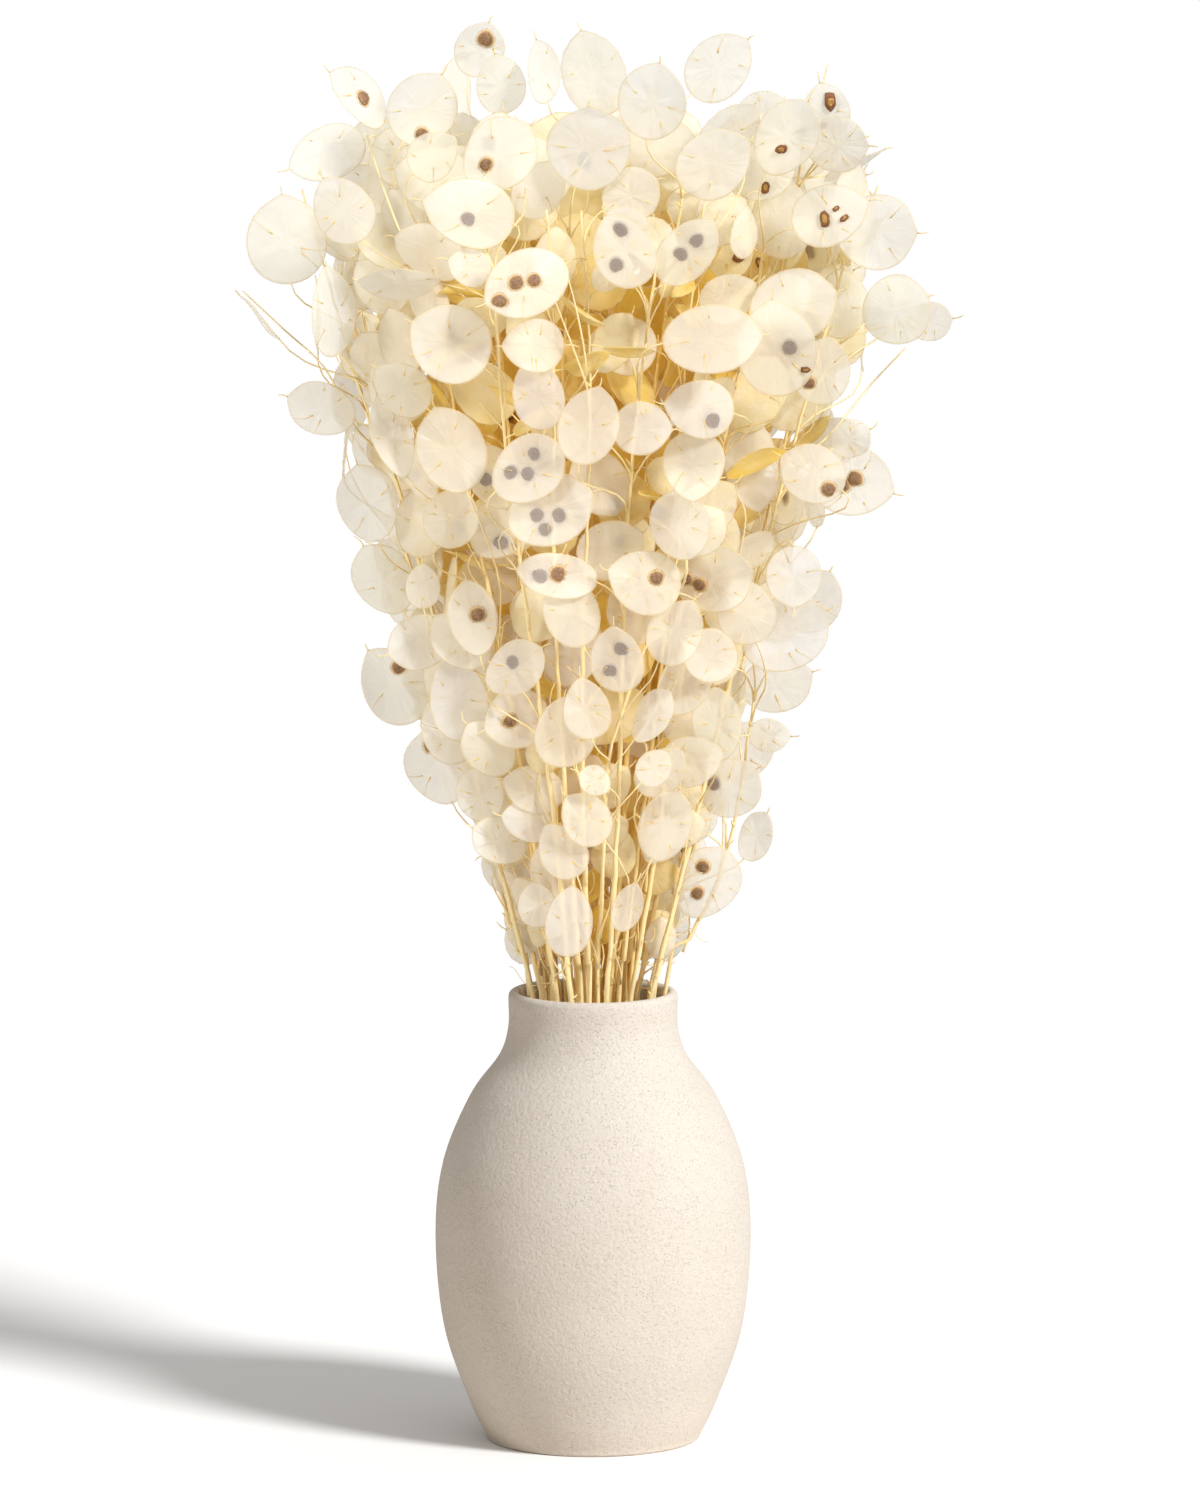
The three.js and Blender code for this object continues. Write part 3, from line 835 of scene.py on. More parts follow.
# Bare twigs in front, placed in the same way, each grown from the stem nearest below it
frontTwigs = [
    [[-4, 493], [-11, 512], [-18, 530]],
    [[111, 470], [127, 490], [143, 507]],
    [[-111, 474], [-123, 498], [-142, 516], [-160, 533]],
    [[97, 604], [103, 622], [107, 637]],
    [[110, 600], [121, 603], [126, 604]],
    [[-3, 498], [-7, 522], [-14, 548]],
    [[64, 400], [70, 428], [66, 440]],
    [[-100, 470], [-110, 496], [-117, 506]],
    [[131, 512], [150, 524], [160, 526]],
    [[-46, 556], [-33, 566], [-31, 580]],
    [[60, 566], [69, 584], [66, 596]],
    [[-88, 560], [-97, 584], [-103, 604]],
]

# Pods just behind the front ones low in the bunch, placed in the same way
layeredPods = [
    [-13, 329, 36, 28, 90], [-9, 367, 36, 26, 60], [-17, 354, 34, 28, 200], [-3, 340, 30, 22, 100],
    [7, 329, 22, 18, 250], [13, 314, 30, 26, 290], [31, 311, 29, 21, 50], [14, 289, 35, 25, 80],
    [-6, 260, 26, 18, 10], [-27, 303, 29, 22, 160], [28, 268, 34, 26, 290], [59, 277, 36, 30, 70],
    [69, 321, 33, 26, 30], [-48, 322, 30, 23, 130], [16, 248, 25, 14, 70], [-43, 279, 28, 21, 150],
    [3, 236, 22, 16, 100], [-22, 231, 22, 14, 80, 30], [45, 316, 30, 24, 20],
    [84, 352, 34, 27, 20], [-60, 372, 33, 25, 140], [-48, 352, 32, 26, 80], [38, 376, 33, 25, 60],
    [20, 384, 32, 26, 140], [-22, 388, 34, 24, 20], [70, 385, 33, 27, 110], [-78, 372, 33, 25, 200],
    [-66, 330, 34, 26, 120], [2, 352, 30, 24, 170], [42, 352, 32, 24, 60], [-52, 300, 28, 22, 100],
    [42, 290, 30, 23, 150], [62, 346, 30, 24, 300], [6, 276, 28, 22, 200], [-14, 274, 28, 22, 120],
    [-96, 400, 35, 27, 120], [100, 390, 34, 28, 60], [-44, 402, 34, 28, 180], [8, 414, 33, 27, 30],
    [40, 425, 34, 28, 100], [-6, 306, 30, 23, 60], [-36, 316, 30, 24, 20], [22, 330, 30, 23, 120],
]

# Broken seeds on the pods between, placed once all the pods hang
scraps = [
    [67, 549, 2, 0.9], [90, 551, 2, 0.8], [98, 552, 2, 1.2], [79, 580, 2, 0.7], [76, 546, 2, 0.6],
    [97, 497, 2, 0.6],
]

# How the bare stems and twigs in front are fitted in
frontTwig = {
    "radius": 0.62,
    "tipRadius": 0.35,
    "reach": 0.9,
    "nearest": 1.0,
    "furthest": 0.3,
    "shareStep": 0.05,
    "leastDepth": 0.1,
    "footShare": 0.8,
    "leastPoints": 4,
    "rootDrop": 26,
    "stemsTried": 4,
    "leave": 9,  # along the stem it grows from
    "join": 0.4,
    "joinSteps": 3,
    "gap": 0.1,
}

# Pods further in and round the back, on every stem
innerPods = {
    "rounds": 6,
    "lowest": 258,
    "belowTip": 2,
    "moreBelow": 0.8,
    "length": (22, 38),
    "widthShare": (0.7, 0.92),
    "lift": (-20, 72),
    "swing": (0, 170),
    "stalkLength": (6, 22),
    "faceDraw": 1.2,
    "headroom": 0.5,
    "frontRoom": 0.5,
    "seedChance": 0.16,
    "seedAt": (0.2, 0.3),
    "farFace": 0.5,
    "tries": 9,
}

# Pods where the bunch would look thin from the front: the line of sight to each place drawn should pass
# through a number of them
filling = {
    "draws": 1800,
    "clear": 0.1,
    "moreBelow": 1.25,
    "smallerBelow": (0.66, 1.0),
    "smallerSpan": 120,
    "wanted": 4,
    "upperFrom": 430,
    "foremost": (0.6, 0.4),  # the share put as near the front as they fit, below that height and above
    "rollDraw": 2.6,
    "step": 5,
    "mostAcross": 0.8,
    "lowest": 232,
    "highest": 604,
    "depths": (-0.55, 0.75),
    "length": (24, 37),
    "widthShare": (0.7, 0.95),
    "tiltDraw": 1.0,
    "tries": 3,
    "foremostTries": 12,
    "seedChance": 0.12,
    "seedAt": (0.25, 0.3),
    "farFace": 0.5,
}

# Pods over the back and the sides, with their faces turned outwards
backPods = {
    "draws": 260,
    "turns": (-12, 192),
    "out": (0.7, 0.9),
    "lowest": 240,
    "highest": 560,
    "length": (26, 39),
    "widthShare": (0.72, 0.92),
    "smallBelow": 290,
    "small": 0.7,
    "tiltDraw": 0.9,
    "rollDraw": 2.2,
    "seedChance": 0.25,
    "seedAt": (0.3, 0.35),
    "farFace": 0,
}

# Empty outer valves: narrow, boat-shaped, amber
husks = {
    "count": 170,
    "lowest": 250,
    "belowTip": 5,
    "length": (22, 33),
    "widthShare": (0.24, 0.34),
    "lift": (-75, 65),
    "swing": (0, 180),
    "stalkLength": (3, 9),
    "faceDraw": 1.8,
    "headroom": 0.9,
    "tries": 8,
}


def addStem(path, radius):
    stems.append(path)
    tips.append(path[-1][2])
    addSticks(path, radius, len(stems) - 1)


# Of several drawn ways up, the one that runs clear for longest
def placeFineStem(number):
    draw = draws("fineStem", number)
    rises = np.arange(stem["firstRing"], fineStem["highestTip"], fineStem["ringStep"])
    heights = np.concatenate([[stem["foot"]], rises])
    best = None
    for _ in range(fineStem["tries"]):
        turn, share = fullTurn * draw(), math.sqrt(within(fineStem["shares"], draw()))
        path = stemPoints(stem["count"] + number, heights, turn, share)
        path = path[: clearLength(path, fineStem["radius"], -1, fineStem["gap"])]
        if best is None or len(path) > len(best):
            best = path
    if best[-1][2] > fineStem["lowestTip"]:
        addStem(best, fineStem["radius"])


# Paths seen along given points, one after another from the front inwards: each point stands on its line of
# sight at a share of the bunch's half depth there
def pathsInwards(places):
    share = frontTwig["nearest"]
    while share > frontTwig["furthest"]:
        path = []
        for x, z in places:
            half = bunchHalf(z) * frontTwig["reach"]
            least = frontTwig["leastDepth"] * share * half
            y = -bunch["depth"] * math.sqrt(max((share * half) ** 2 - x * x, least ** 2))
            path.append(inSight(x, z, y)[0])
        yield np.array(path)
        share -= frontTwig["shareStep"]


# Of the ways at each depth, the one that runs clear for longest, with a foot in the vase
def placeFrontStem(places):
    best = []
    for path in pathsInwards(places):
        foot = stemPoints(0, [stem["foot"]], turnOf(path[0]), frontTwig["footShare"])
        path = np.concatenate([foot, path])
        path = path[: clearLength(path, fineStem["tipRadius"], -1, fineStem["gap"])]
        if len(path) > len(best):
            best = path
    if len(best) >= frontTwig["leastPoints"]:
        addStem(best, fineStem["radius"])


bareTwigs = []  # spray and path


# The first depth at which a whole twig, led out of a stem near it, runs clear
def placeFrontTwig(places):
    look = frontTwig
    for path in pathsInwards(places):
        height = path[0][2] - look["rootDrop"]
        near = [i for i in range(len(stems)) if tips[i] - stalk["belowTip"] > height]
        near.sort(key=lambda i: np.linalg.norm(onStem(i, height)[0] - path[0]))
        for i in near[: look["stemsTried"]]:
            root, rising = onStem(i, height)
            before = path[0] - (path[1] - path[0]) * look["join"]
            lead = bezier([root, root + rising * look["leave"], before, path[0]], look["joinSteps"])
            whole = np.concatenate([lead, path[1:]])
            if clearLength(whole, look["tipRadius"], i, look["gap"]) == len(whole):
                bareTwigs.append((i, whole))
                addSticks(whole, look["radius"], i)
                return


# A seed near the middle of a pod's length, to one side
def addLooseSeed(pod, plan, draw):
    along, across = plan["seedAt"]
    a = along * pod["long"] * (draw() - 0.5)
    pod["seeds"].append((a, across * pod["wide"], int(draw() < plan["farFace"])))


def placeInnerPod(i, k):
    draw = draws("innerPod", 100 * i + k)
    ends = tips[i] - innerPods["belowTip"], innerPods["lowest"]
    if ends[0] < ends[1]:
        return
    height = within(ends, draw() ** innerPods["moreBelow"])
    size = drawSize(innerPods, draw)
    seeded = draw() < innerPods["seedChance"]
    pod = hangPod(i, height, size, innerPods, draw, turnOf(stems[i][-1]), 2)
    if pod and seeded:
        addLooseSeed(pod, innerPods, draw)


# How many pods the line of sight through x and z at y = 0 passes through
def coverAt(x, z):
    a, b = crossing(x, z, podRows, tiny)
    return int((np.hypot(a / podRows["long"], b / podRows["wide"]) < 1).sum())


# A pod on a drawn line of sight, put as far forward as it fits or at a drawn depth
def placeFilling(k):
    draw = draws("filling", k)
    z = within((filling["lowest"], filling["highest"]), draw() ** filling["moreBelow"])
    half = bunchHalf(z) * filling["mostAcross"]
    x = half * (2 * draw() - 1)
    if coverAt(x, z) >= filling["wanted"]:
        return
    up = (z - filling["lowest"]) / filling["smallerSpan"]
    size = drawSize(filling, draw, min(1, within(filling["smallerBelow"], up)))
    seeded = draw() < filling["seedChance"]
    deepest = bunch["depth"] * math.sqrt(half * half - x * x)
    foremost = draw() < filling["foremost"][int(z > filling["upperFrom"])]
    for t in range(filling["foremostTries" if foremost else "tries"]):
        y = filling["step"] * t - deepest if foremost else deepest * within(filling["depths"], draw())
        centre = inSight(x, z, y)[0]
        roll = math.atan2(half, 2 * x) + filling["rollDraw"] * (draw() - 0.5)
        tilt = randomTilt(draw, filling["tiltDraw"])
        along = np.array([math.cos(roll), 0, math.sin(roll)])
        pod = makePod(centre, along, np.array([0, -1, 0]) + tilt, *size)
        if podIsClear(pod) and findTwig(pod):
            if seeded:
                addLooseSeed(pod, filling, draw)
            return


# A pod at a share of the bunch's half width in a drawn direction, facing out that way
def placeBackPod(k):
    draw = draws("backPod", k)
    z = within((backPods["lowest"], backPods["highest"]), draw())
    turn = math.radians(within(backPods["turns"], draw()))
    out = bunchHalf(z) * within(backPods["out"], draw())
    length = within(backPods["length"], draw()) * (backPods["small"] if z < backPods["smallBelow"] else 1)
    outwards = headed(turn)
    aside = np.array([-outwards[1], outwards[0], 0])
    centre = out * outwards * [1, bunch["depth"], 0] + [0, 0, z]
    roll = math.pi / 2 + backPods["rollDraw"] * (draw() - 0.5)
    along = aside * math.cos(roll) + np.array([0, 0, math.sin(roll)])
    facing = outwards + randomTilt(draw, backPods["tiltDraw"])
    pod = makePod(centre, along, facing, length, length * within(backPods["widthShare"], draw()))
    seeded = draw() < backPods["seedChance"]
    if podIsClear(pod) and findTwig(pod) and seeded:
        addLooseSeed(pod, backPods, draw)


def placeHusk(k):
    draw = draws("husk", k)
    i = int(draw() * len(stems))
    ends = husks["lowest"], tips[i] - husks["belowTip"]
    if ends[1] < ends[0]:
        return
    height = within(ends, draw())
    pod = hangPod(i, height, drawSize(husks, draw), husks, draw, turnOf(stems[i][-1]), 1)
    if pod:
        pod["husk"] = True


for places in frontStems:
    placeFrontStem(places)
for number in range(fineStem["count"]):
    placeFineStem(number)
for order, place in enumerate(betweenPods):
    placeFrontPod(place, len(frontPods) + order)
for places in frontTwigs:
    placeFrontTwig(places)
for order, place in enumerate(layeredPods):
    placeFrontPod(place, frontFit["layeredOrder"] + order)
for k in range(husks["count"]):
    placeHusk(k)
for k in range(backPods["draws"]):
    placeBackPod(k)
for k in range(innerPods["rounds"]):
    for i in range(len(stems)):
        placeInnerPod(i, k)
beforeFilling = len(pods)
room["clear"] = filling["clear"]
for k in range(filling["draws"]):
    placeFilling(k)
print("filling in:", len(pods) - beforeFilling)
fromFront = sorted(pods, key=lambda pod: pod["centre"][1])
for place in scraps:
    placeFrontSeed(place, fromFront)
print("layout in all:", len(pods), "pods on", len(stems), "stems, and", len(bareTwigs), "bare twigs in front")

# ---- Meshes ----


# A heap gathers the surfaces of one piece
def newHeap():
    return {"points": [], "fans": [], "quads": [], "marks": {}, "count": 0}


cornersOf = {}  # the faces already worked out, by rings and sides


# The faces of rings closed around, with quads between neighbours and fans to a point at each end
def ringFaces(rings, sides):
    if (rings, sides) not in cornersOf:
        row = np.arange(sides)
        after = (row + 1) % sides
        last = (rings - 1) * sides
        fans = [
            np.stack([np.zeros(sides, int), after + 1, row + 1], 1),
            np.stack([last + row + 1, last + after + 1, np.full(sides, rings * sides + 1)], 1),
        ]
        first = np.arange(rings - 1)[:, None] * sides + 1
        quads = np.stack([first + row, first + after, first + sides + after, first + sides + row], -1)
        cornersOf[rings, sides] = np.concatenate(fans), quads.reshape(-1, 4)
    return cornersOf[rings, sides]


# Adds one closed surface: its point at the start, its rings (rings x sides x 3) and its point at the end.
# Each mark is a number or a row of numbers for every point
def addRings(heap, start, rings, end, **marks):
    points = np.concatenate([[start], rings.reshape(-1, 3), [end]])
    fans, quads = ringFaces(*rings.shape[:2])
    heap["points"].append(points)
    heap["fans"].append(fans + heap["count"])
    heap["quads"].append(quads + heap["count"])
    heap["count"] += len(points)
    for key, values in marks.items():
        values = np.asarray(values, float)
        if values.ndim == 0:
            values = np.full(len(points), float(values))
        heap["marks"].setdefault(key, []).append(values)


def addPiece(name, heap, material, slot, nodes=()):
    mesh = bpy.data.meshes.new(name)
    points = np.concatenate(heap["points"]) * mm
    faces = np.concatenate(heap["fans"]).tolist() + np.concatenate(heap["quads"]).tolist()
    mesh.from_pydata(points.tolist(), [], faces)
    for key, rows in heap["marks"].items():
        values = np.concatenate(rows)
        kind = "FLOAT" if values.ndim == 1 else "FLOAT_VECTOR"
        mark = mesh.attributes.new(key, kind, "POINT")
        mark.data.foreach_set("value" if values.ndim == 1 else "vector", values.astype(np.float32).ravel())
    mesh.shade_smooth()
    mesh.materials.append(material)
    piece = bpy.data.objects.new(name, mesh)
    bpy.context.scene.collection.objects.link(piece)
    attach(piece, "root")
    if nodes:
        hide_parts(*nodes)
    return piece


# How far inside the bunch points are, from 0 at its surface to 1 at its axis and well below its top: the
# lesser of the share of the way in from the side and the share of the top's depth that is above them
def insideShare(points):
    ends = bunch["mouthHalf"], bunch["shoulderHalf"]
    half = np.clip(within(ends, coneShare(points[..., 2])), *ends)
    out = np.hypot(points[..., 0], points[..., 1] / bunch["depth"]) / half
    dome = (1 - np.clip(out, 0, 1) ** 2) ** (1 / bunch["domePower"])
    dome = bunch["shoulderHeight"] + (bunch["top"] - bunch["shoulderHeight"]) * dome
    return np.clip(np.minimum(1 - out, (dome - points[..., 2]) / bunch["topDepth"]), 0, 1)


# Radii in even steps from one end of a line to the other
def tapered(ends, line):
    return np.linspace(*ends, len(line))


# A round stick along a path: at each point of the path a circle square to it, with the radius given there
def addTube(heap, path, radii, sides, ageing=0.0):
    ageing = np.broadcast_to(ageing, len(path))
    path = np.asarray(path, float)
    tangent = unit(np.gradient(path, axis=0))
    chord = np.abs(unit(path[-1] - path[0]))
    aside = np.eye(3)[int(np.argmin(chord))]
    first = unit(np.cross(aside, tangent))
    second = np.cross(tangent, first)
    turns = ringTurns(sides)
    spin = np.stack([np.cos(turns), np.sin(turns)], -1)
    radii = np.asarray(radii, float)[:, None, None]
    rings = path[:, None] + radii * (spin[:, :1] * first[:, None] + spin[:, 1:] * second[:, None])
    along = np.concatenate([[0], np.cumsum(np.linalg.norm(np.diff(path, axis=0), axis=1))])
    fibre = np.zeros(rings.shape)
    fibre[..., :2] = spin
    fibre[..., 2] = along[:, None] + path[0][0] + path[0][1]
    ends = np.array([[0, 0, fibre[0, 0, 2]], [0, 0, fibre[-1, 0, 2]]])
    fibre = np.concatenate([ends[:1], fibre.reshape(-1, 3), ends[1:]])
    points = np.concatenate([path[:1], rings.reshape(-1, 3), path[-1:]])
    ageing = np.concatenate([ageing[:1], np.repeat(ageing, sides), ageing[-1:]])
    # Painted warm shade: straw deeper inside the bunch is painted more amber, on top of its own ageing
    age = smoothed(0.1, 0.6, insideShare(points))
    addRings(heap, path[0], rings, path[-1], fibre=fibre, age=np.clip(age + ageing, 0, 1))


# ---- The vase ----

vaseLook = {
    "footRadius": 48.0,
    "footRound": 2.0,
    "side": [[57.5, 18], [69, 52], [73, 94], [69.5, 129], [57, 160], [43.5, 179], [39.3, 192], [39.1, 204]],
    "sideSteps": 72,
    "height": 209.5,
    "wall": 5.1,
    "floor": 8.0,
    "floorRound": 9,
    "flatShare": 0.5,
    "lipSteps": 10,
    "footSteps": 5,
    "floorSteps": 6,
    "around": 160,
    "clay": (0.608, 0.557, 0.498),
    "paleClay": (0.624, 0.575, 0.518),
    "darkClay": (0.593, 0.539, 0.476),
    "grain": (1, 0.98, 0.94),
    "speck": (0.30, 0.24, 0.17),
    "waves": 0.5,
    "bump": 0.8,
}


# Points of a uniform Catmull-Rom spline: between two given points it is the cubic whose slope at each is
# half the way from the point before to the point after
def splinePoints(given, steps):
    given = np.asarray(given, float)
    place = np.linspace(0, len(given) - 1, steps + 1)
    at = np.minimum(place.astype(int), len(given) - 2)
    t = (place - at)[:, None]
    before, start = given[np.maximum(at - 1, 0)], given[at]
    end, after = given[at + 1], given[np.minimum(at + 2, len(given) - 1)]
    out, into = (end - before) / 2, (after - start) / 2
    cubic = (2 * start - 2 * end + out + into) * t ** 3
    return cubic + (3 * end - 3 * start - 2 * out - into) * t ** 2 + out * t + start


# Points on a circle: its middle and the radius times the cosine and sine of even steps of the turn
def arcPoints(middle, radius, start, end, steps):
    turns = np.radians(np.linspace(start, end, steps + 1))[:, None]
    return np.asarray(middle, float) + radius * np.concatenate([np.cos(turns), np.sin(turns)], 1)


# The vase turned about its axis: its section is the flat foot with a rounded edge, the swelling side, the
# lip's half circle, and the inside one wall further in down to its floor
def makeVase():
    look = vaseLook
    foot, edge, wall, bend = look["footRadius"], look["footRound"], look["wall"], look["floorRound"]
    side = splinePoints([[foot + edge, edge], *look["side"]], look["sideSteps"])
    lip = wall / 2
    lipMiddle = [look["side"][-1][0] - lip, look["height"] - lip]
    inside = side[side[:, 1] > look["floor"] + bend][::-1] - [wall, 0]
    hollow = [inside[-1][0] - bend, look["floor"] + bend]
    section = np.concatenate([
        [[foot * look["flatShare"], 0]],
        arcPoints([foot, edge], edge, -90, 0, look["footSteps"]),
        side[1:],
        arcPoints(lipMiddle, lip, 0, 180, look["lipSteps"]),
        inside,
        arcPoints(hollow, bend, 0, -90, look["floorSteps"])[1:],
        [[foot * look["flatShare"], look["floor"]]],
    ])
    turns = ringTurns(look["around"])
    rings = np.stack([
        section[:, :1] * np.cos(turns),
        section[:, :1] * np.sin(turns),
        np.repeat(section[:, 1:], look["around"], axis=1),
    ], -1)
    heap = newHeap()
    addRings(heap, [0, 0, 0], rings, [0, 0, look["floor"]])
    addPiece("vase_body", heap, makeStoneware(), "stoneware", ["vase"])


# Matte fired clay: cloudy in tone, with fine dark specks and the skin of a coarse glaze
def makeStoneware():
    material = startTree(bpy.data.materials.new("matteStoneware"))
    place = objectPlace()
    tones = (0.3, vaseLook["darkClay"]), (0.5, vaseLook["clay"]), (0.72, vaseLook["paleClay"])
    colour = colourRamp(noise(place, 26, 4, 0.55), tones)
    grain = mapValue(noise(place, 900, 3, 0.6), 0.35, 0.7, 0.0, 0.07)
    colour = mixColour(grain, colour, vaseLook["grain"])
    specks = add("TexVoronoi", {"Vector": place, "Scale": 420.0, "Randomness": 1.0}, "Distance")
    few = mapValue(noise(place, 300, 1), 0.56, 0.66)
    dots = times(mapValue(specks, 0.05, 0.24, 1.0, 0.0), few)
    colour = mixColour(times(dots, 0.6), colour, vaseLook["speck"])
    skin = noise(place, 520, 4, 0.62)
    pits = mapValue(noise(place, 1300, 2), 0.6, 0.72, 0.0, -0.5)
    waves = times(noise(place, 60, 2), vaseLook["waves"])
    clay = add("BsdfPrincipled", {
        "Base Color": colour,
        "Roughness": mapValue(skin, 0.3, 0.7, 0.78, 0.9),
        "Specular IOR Level": 0.2,
        "Normal": bumped(plus(plus(skin, pits), waves), vaseLook["bump"], 0.0007),
    })
    return finishMaterial(material, clay)


makeVase()
print("vase")

# ---- Stems, twigs and stalks ----

stemLook = {
    "straw": (0.82, 0.62, 0.27),
    "paleStraw": (0.91, 0.78, 0.47),
    "amber": (0.80, 0.55, 0.15),
    "knot": (0.48, 0.27, 0.09),
    "fibreScale": (2.2, 2.2, 0.06),  # fine round the stick and long up it
    "radii": (1.35, 0.62),
    "swell": 0.07,
    "swellWave": 9,
    "waver": 0.28,
    "waverTurn": 2.4,
    "insideHeights": (70, 140),
    "belowRing": 8,
    "sides": 9,
    "stalkSides": 5,
    "ringStep": 11,
    "stalkSteps": 7,
    "spurEvery": 36,
    "spurLength": (1.8, 4.2),
    "spurRadius": 0.75,
    "twigletChance": 0.5,
    "twigletsAbove": 300,
    "twigletLength": (7, 17),
    "spurFrom": 14,
    "spurBelowTip": 8,
    "spurRise": 0.7,
    "spurTaper": [1.15, 0.8, 0.3],
    "spurAge": 0.25,
    "twigletDroop": 0.8,
    "twigletRadii": (0.5, 0.28),
    "twigletRoom": 0.3,  # the radius that is kept clear for one, and the one that later ones keep clear of
    "twigletStick": 0.4,
    "twigletGap": 0.1,
    "kink": 0.05,
    "joint": 0.45,
    "jointDraw": 0.3,
    "stalkRadii": (0.5, 0.33),
    "rootFlare": 1.5,
    "beak": (3.0, 6.5),
    "beakRadii": (0.36, 0.18),
    "beakAcross": 0.7,
    "beakOut": 0.4,
}


def makeStraw():
    material = startTree(bpy.data.materials.new("driedStraw"))
    age, fibre = mark("age"), mark("fibre", "Vector")
    stretched = add("VectorMath", {0: fibre, 1: stemLook["fibreScale"]}, operation="MULTIPLY")
    lines = noise(stretched, 3.0, 4, 0.6)
    patches = noise(objectPlace(), 38, 3, 0.6)
    colour = colourRamp(lines, [(0.28, stemLook["straw"]), (0.7, stemLook["paleStraw"])])
    # Amber where the straw has aged, and painted warm shade where it lies deep in the bunch
    colour = mixColour(mapValue(age, 0.0, 1.0, 0.0, 0.85, "LINEAR"), colour, stemLook["amber"])
    colour = mixColour(times(mapValue(patches, 0.58, 0.74), 0.5), colour, stemLook["knot"])
    stick = add("BsdfPrincipled", {
        "Base Color": colour,
        "Roughness": mapValue(lines, 0.3, 0.7, 0.42, 0.62),
        "Specular IOR Level": 0.4,
        "Normal": bumped(lines, 0.5, 0.0003),
    })
    return finishMaterial(material, stick)


# The drawn line of a stem: close steps of its curve, or of the straight lengths of a fine one
def stemLine(i):
    if i < stem["count"]:
        count = int((tips[i] - stem["firstRing"]) / stemLook["ringStep"])
        low = [stem["foot"], *stemLook["insideHeights"]]
        rises = np.linspace(stem["firstRing"] - stemLook["belowRing"], tips[i], count)
        return stemPoints(i, np.concatenate([low, rises]))
    return splinePoints(stems[i], 3 * (len(stems[i]) - 1))


# A stalk's drawn line: its curve with a bend to one side at a joint a little past its middle
def stalkLine(pod, draw):
    line = bezier(pod["stalk"], stemLook["stalkSteps"])
    if pod["spray"] < stem["count"]:
        line[0] = stemPoints(pod["spray"], [line[0][2]])[0]
    t = np.linspace(0, 1, len(line))
    joint = stemLook["joint"] + stemLook["jointDraw"] * draw()
    bend = np.minimum(t / joint, (1 - t) / (1 - joint))[:, None]
    far = np.linalg.norm(line[-1] - line[0])
    aside = unit(np.cross(line[-1] - line[0], randomTilt(draw, 1)))
    return line + aside * bend * far * stemLook["kink"] * (0.5 + draw())


# Short spurs up a stem where leaves fell, and a few bare twiglets
def addSpurs(heap, i, line, radii, draw):
    look = stemLook
    height = line[3][2] + look["spurFrom"] * draw()
    while height < line[-1][2] - look["spurBelowTip"]:
        k = int(np.argmax(line[:, 2] >= height))
        out = headed(fullTurn * draw(), look["spurRise"] + draw())
        long = within(look["spurLength"], draw())
        if draw() < look["twigletChance"] and height > look["twigletsAbove"]:
            twig = within(look["twigletLength"], draw())
            droop = np.array([draw() - 0.5, draw() - 0.5, look["twigletDroop"] * draw()])
            path = np.array([line[k], line[k] + unit(out) * twig * 0.5, line[k] + unit(out + droop) * twig])
            if clearLength(path, look["twigletRoom"], i, look["twigletGap"]) == len(path):
                bend = splinePoints(path, 5)
                addTube(heap, bend, tapered(look["twigletRadii"], bend), look["stalkSides"])
                addSticks(path, look["twigletStick"], i)
        tip = line[k] + unit(out) * (radii[k] + long)
        width = np.array(look["spurTaper"]) * look["spurRadius"]
        addTube(heap, [line[k], (line[k] + tip) / 2, tip], width, look["stalkSides"], look["spurAge"])
        height += look["spurEvery"] * (0.5 + draw())


# A stem swells and thins by a sine of its height, and wavers on a small circle that turns step by step
def addStemTo(heap, i):
    draw = draws("spurs", i)
    line = stemLine(i)
    share = np.linspace(0, 1, len(line))
    ends = stemLook["radii"] if i < stem["count"] else (fineStem["radius"], fineStem["tipRadius"])
    radii = within(ends, share) * (1 + stemLook["swell"] * np.sin(line[:, 2] / stemLook["swellWave"] + i))
    turn = np.arange(len(line)) * stemLook["waverTurn"] + i
    line[3:, :2] += stemLook["waver"] * np.stack([np.cos(turn), np.sin(turn)], -1)[3:]
    addTube(heap, line, radii, stemLook["sides"])
    addSpurs(heap, i, line, radii, draw)


# One set of heaps for each modelled spray, and a last one for all the fine stems
slotOf = {"stem": "dried_stem", "pods": "dried_pod", "seeds": "seed"}
allHeaps = [{part: newHeap() for part in slotOf} for _ in range(stem["count"] + 1)]


def heapsOf(i):
    return allHeaps[min(i, stem["count"])]


# Frayed fibres low on the front stems, and a few higher up
frays = {
    "counts": (30, 8),
    "heights": ((211, 262), (400, 440)),
    "length": (8, 24),
    "radius": 0.2,
    "curl": (1.2, 5.0),
    "turns": (0.5, 1.7),
    "aside": 2.2,
    "level": 0.8,
    "rise": (-0.05, 0.9),
    "taper": (1.3, 0.7),
    "points": 13,
    "sides": 4,
    "ageDraw": 0.15,
    "deepest": 6,
}


# A fibre leaves its stem and curls as it goes, on a helix that opens in step with the way it has gone
def addFray(heap, i, height, draw):
    root, rising = onStem(i, height)
    turn = turnOf(root) + frays["aside"] * (draw() - 0.5)
    level = frays["level"]
    out = unit(np.array([level * math.cos(turn), level * math.sin(turn), within(frays["rise"], draw())]))
    aside = unit(np.cross(out, rising))
    up = np.cross(out, aside)
    t = np.linspace(0, 1, frays["points"])[:, None]
    angle = fullTurn * (within(frays["turns"], draw()) * t + draw())
    curl = within(frays["curl"], draw()) * t
    way = out * within(frays["length"], draw()) * t
    line = root + way + curl * (np.cos(angle) * aside + np.sin(angle) * up)
    radii = frays["radius"] * tapered(frays["taper"], line)
    addTube(heap, line, radii, frays["sides"], frays["ageDraw"] * draw())


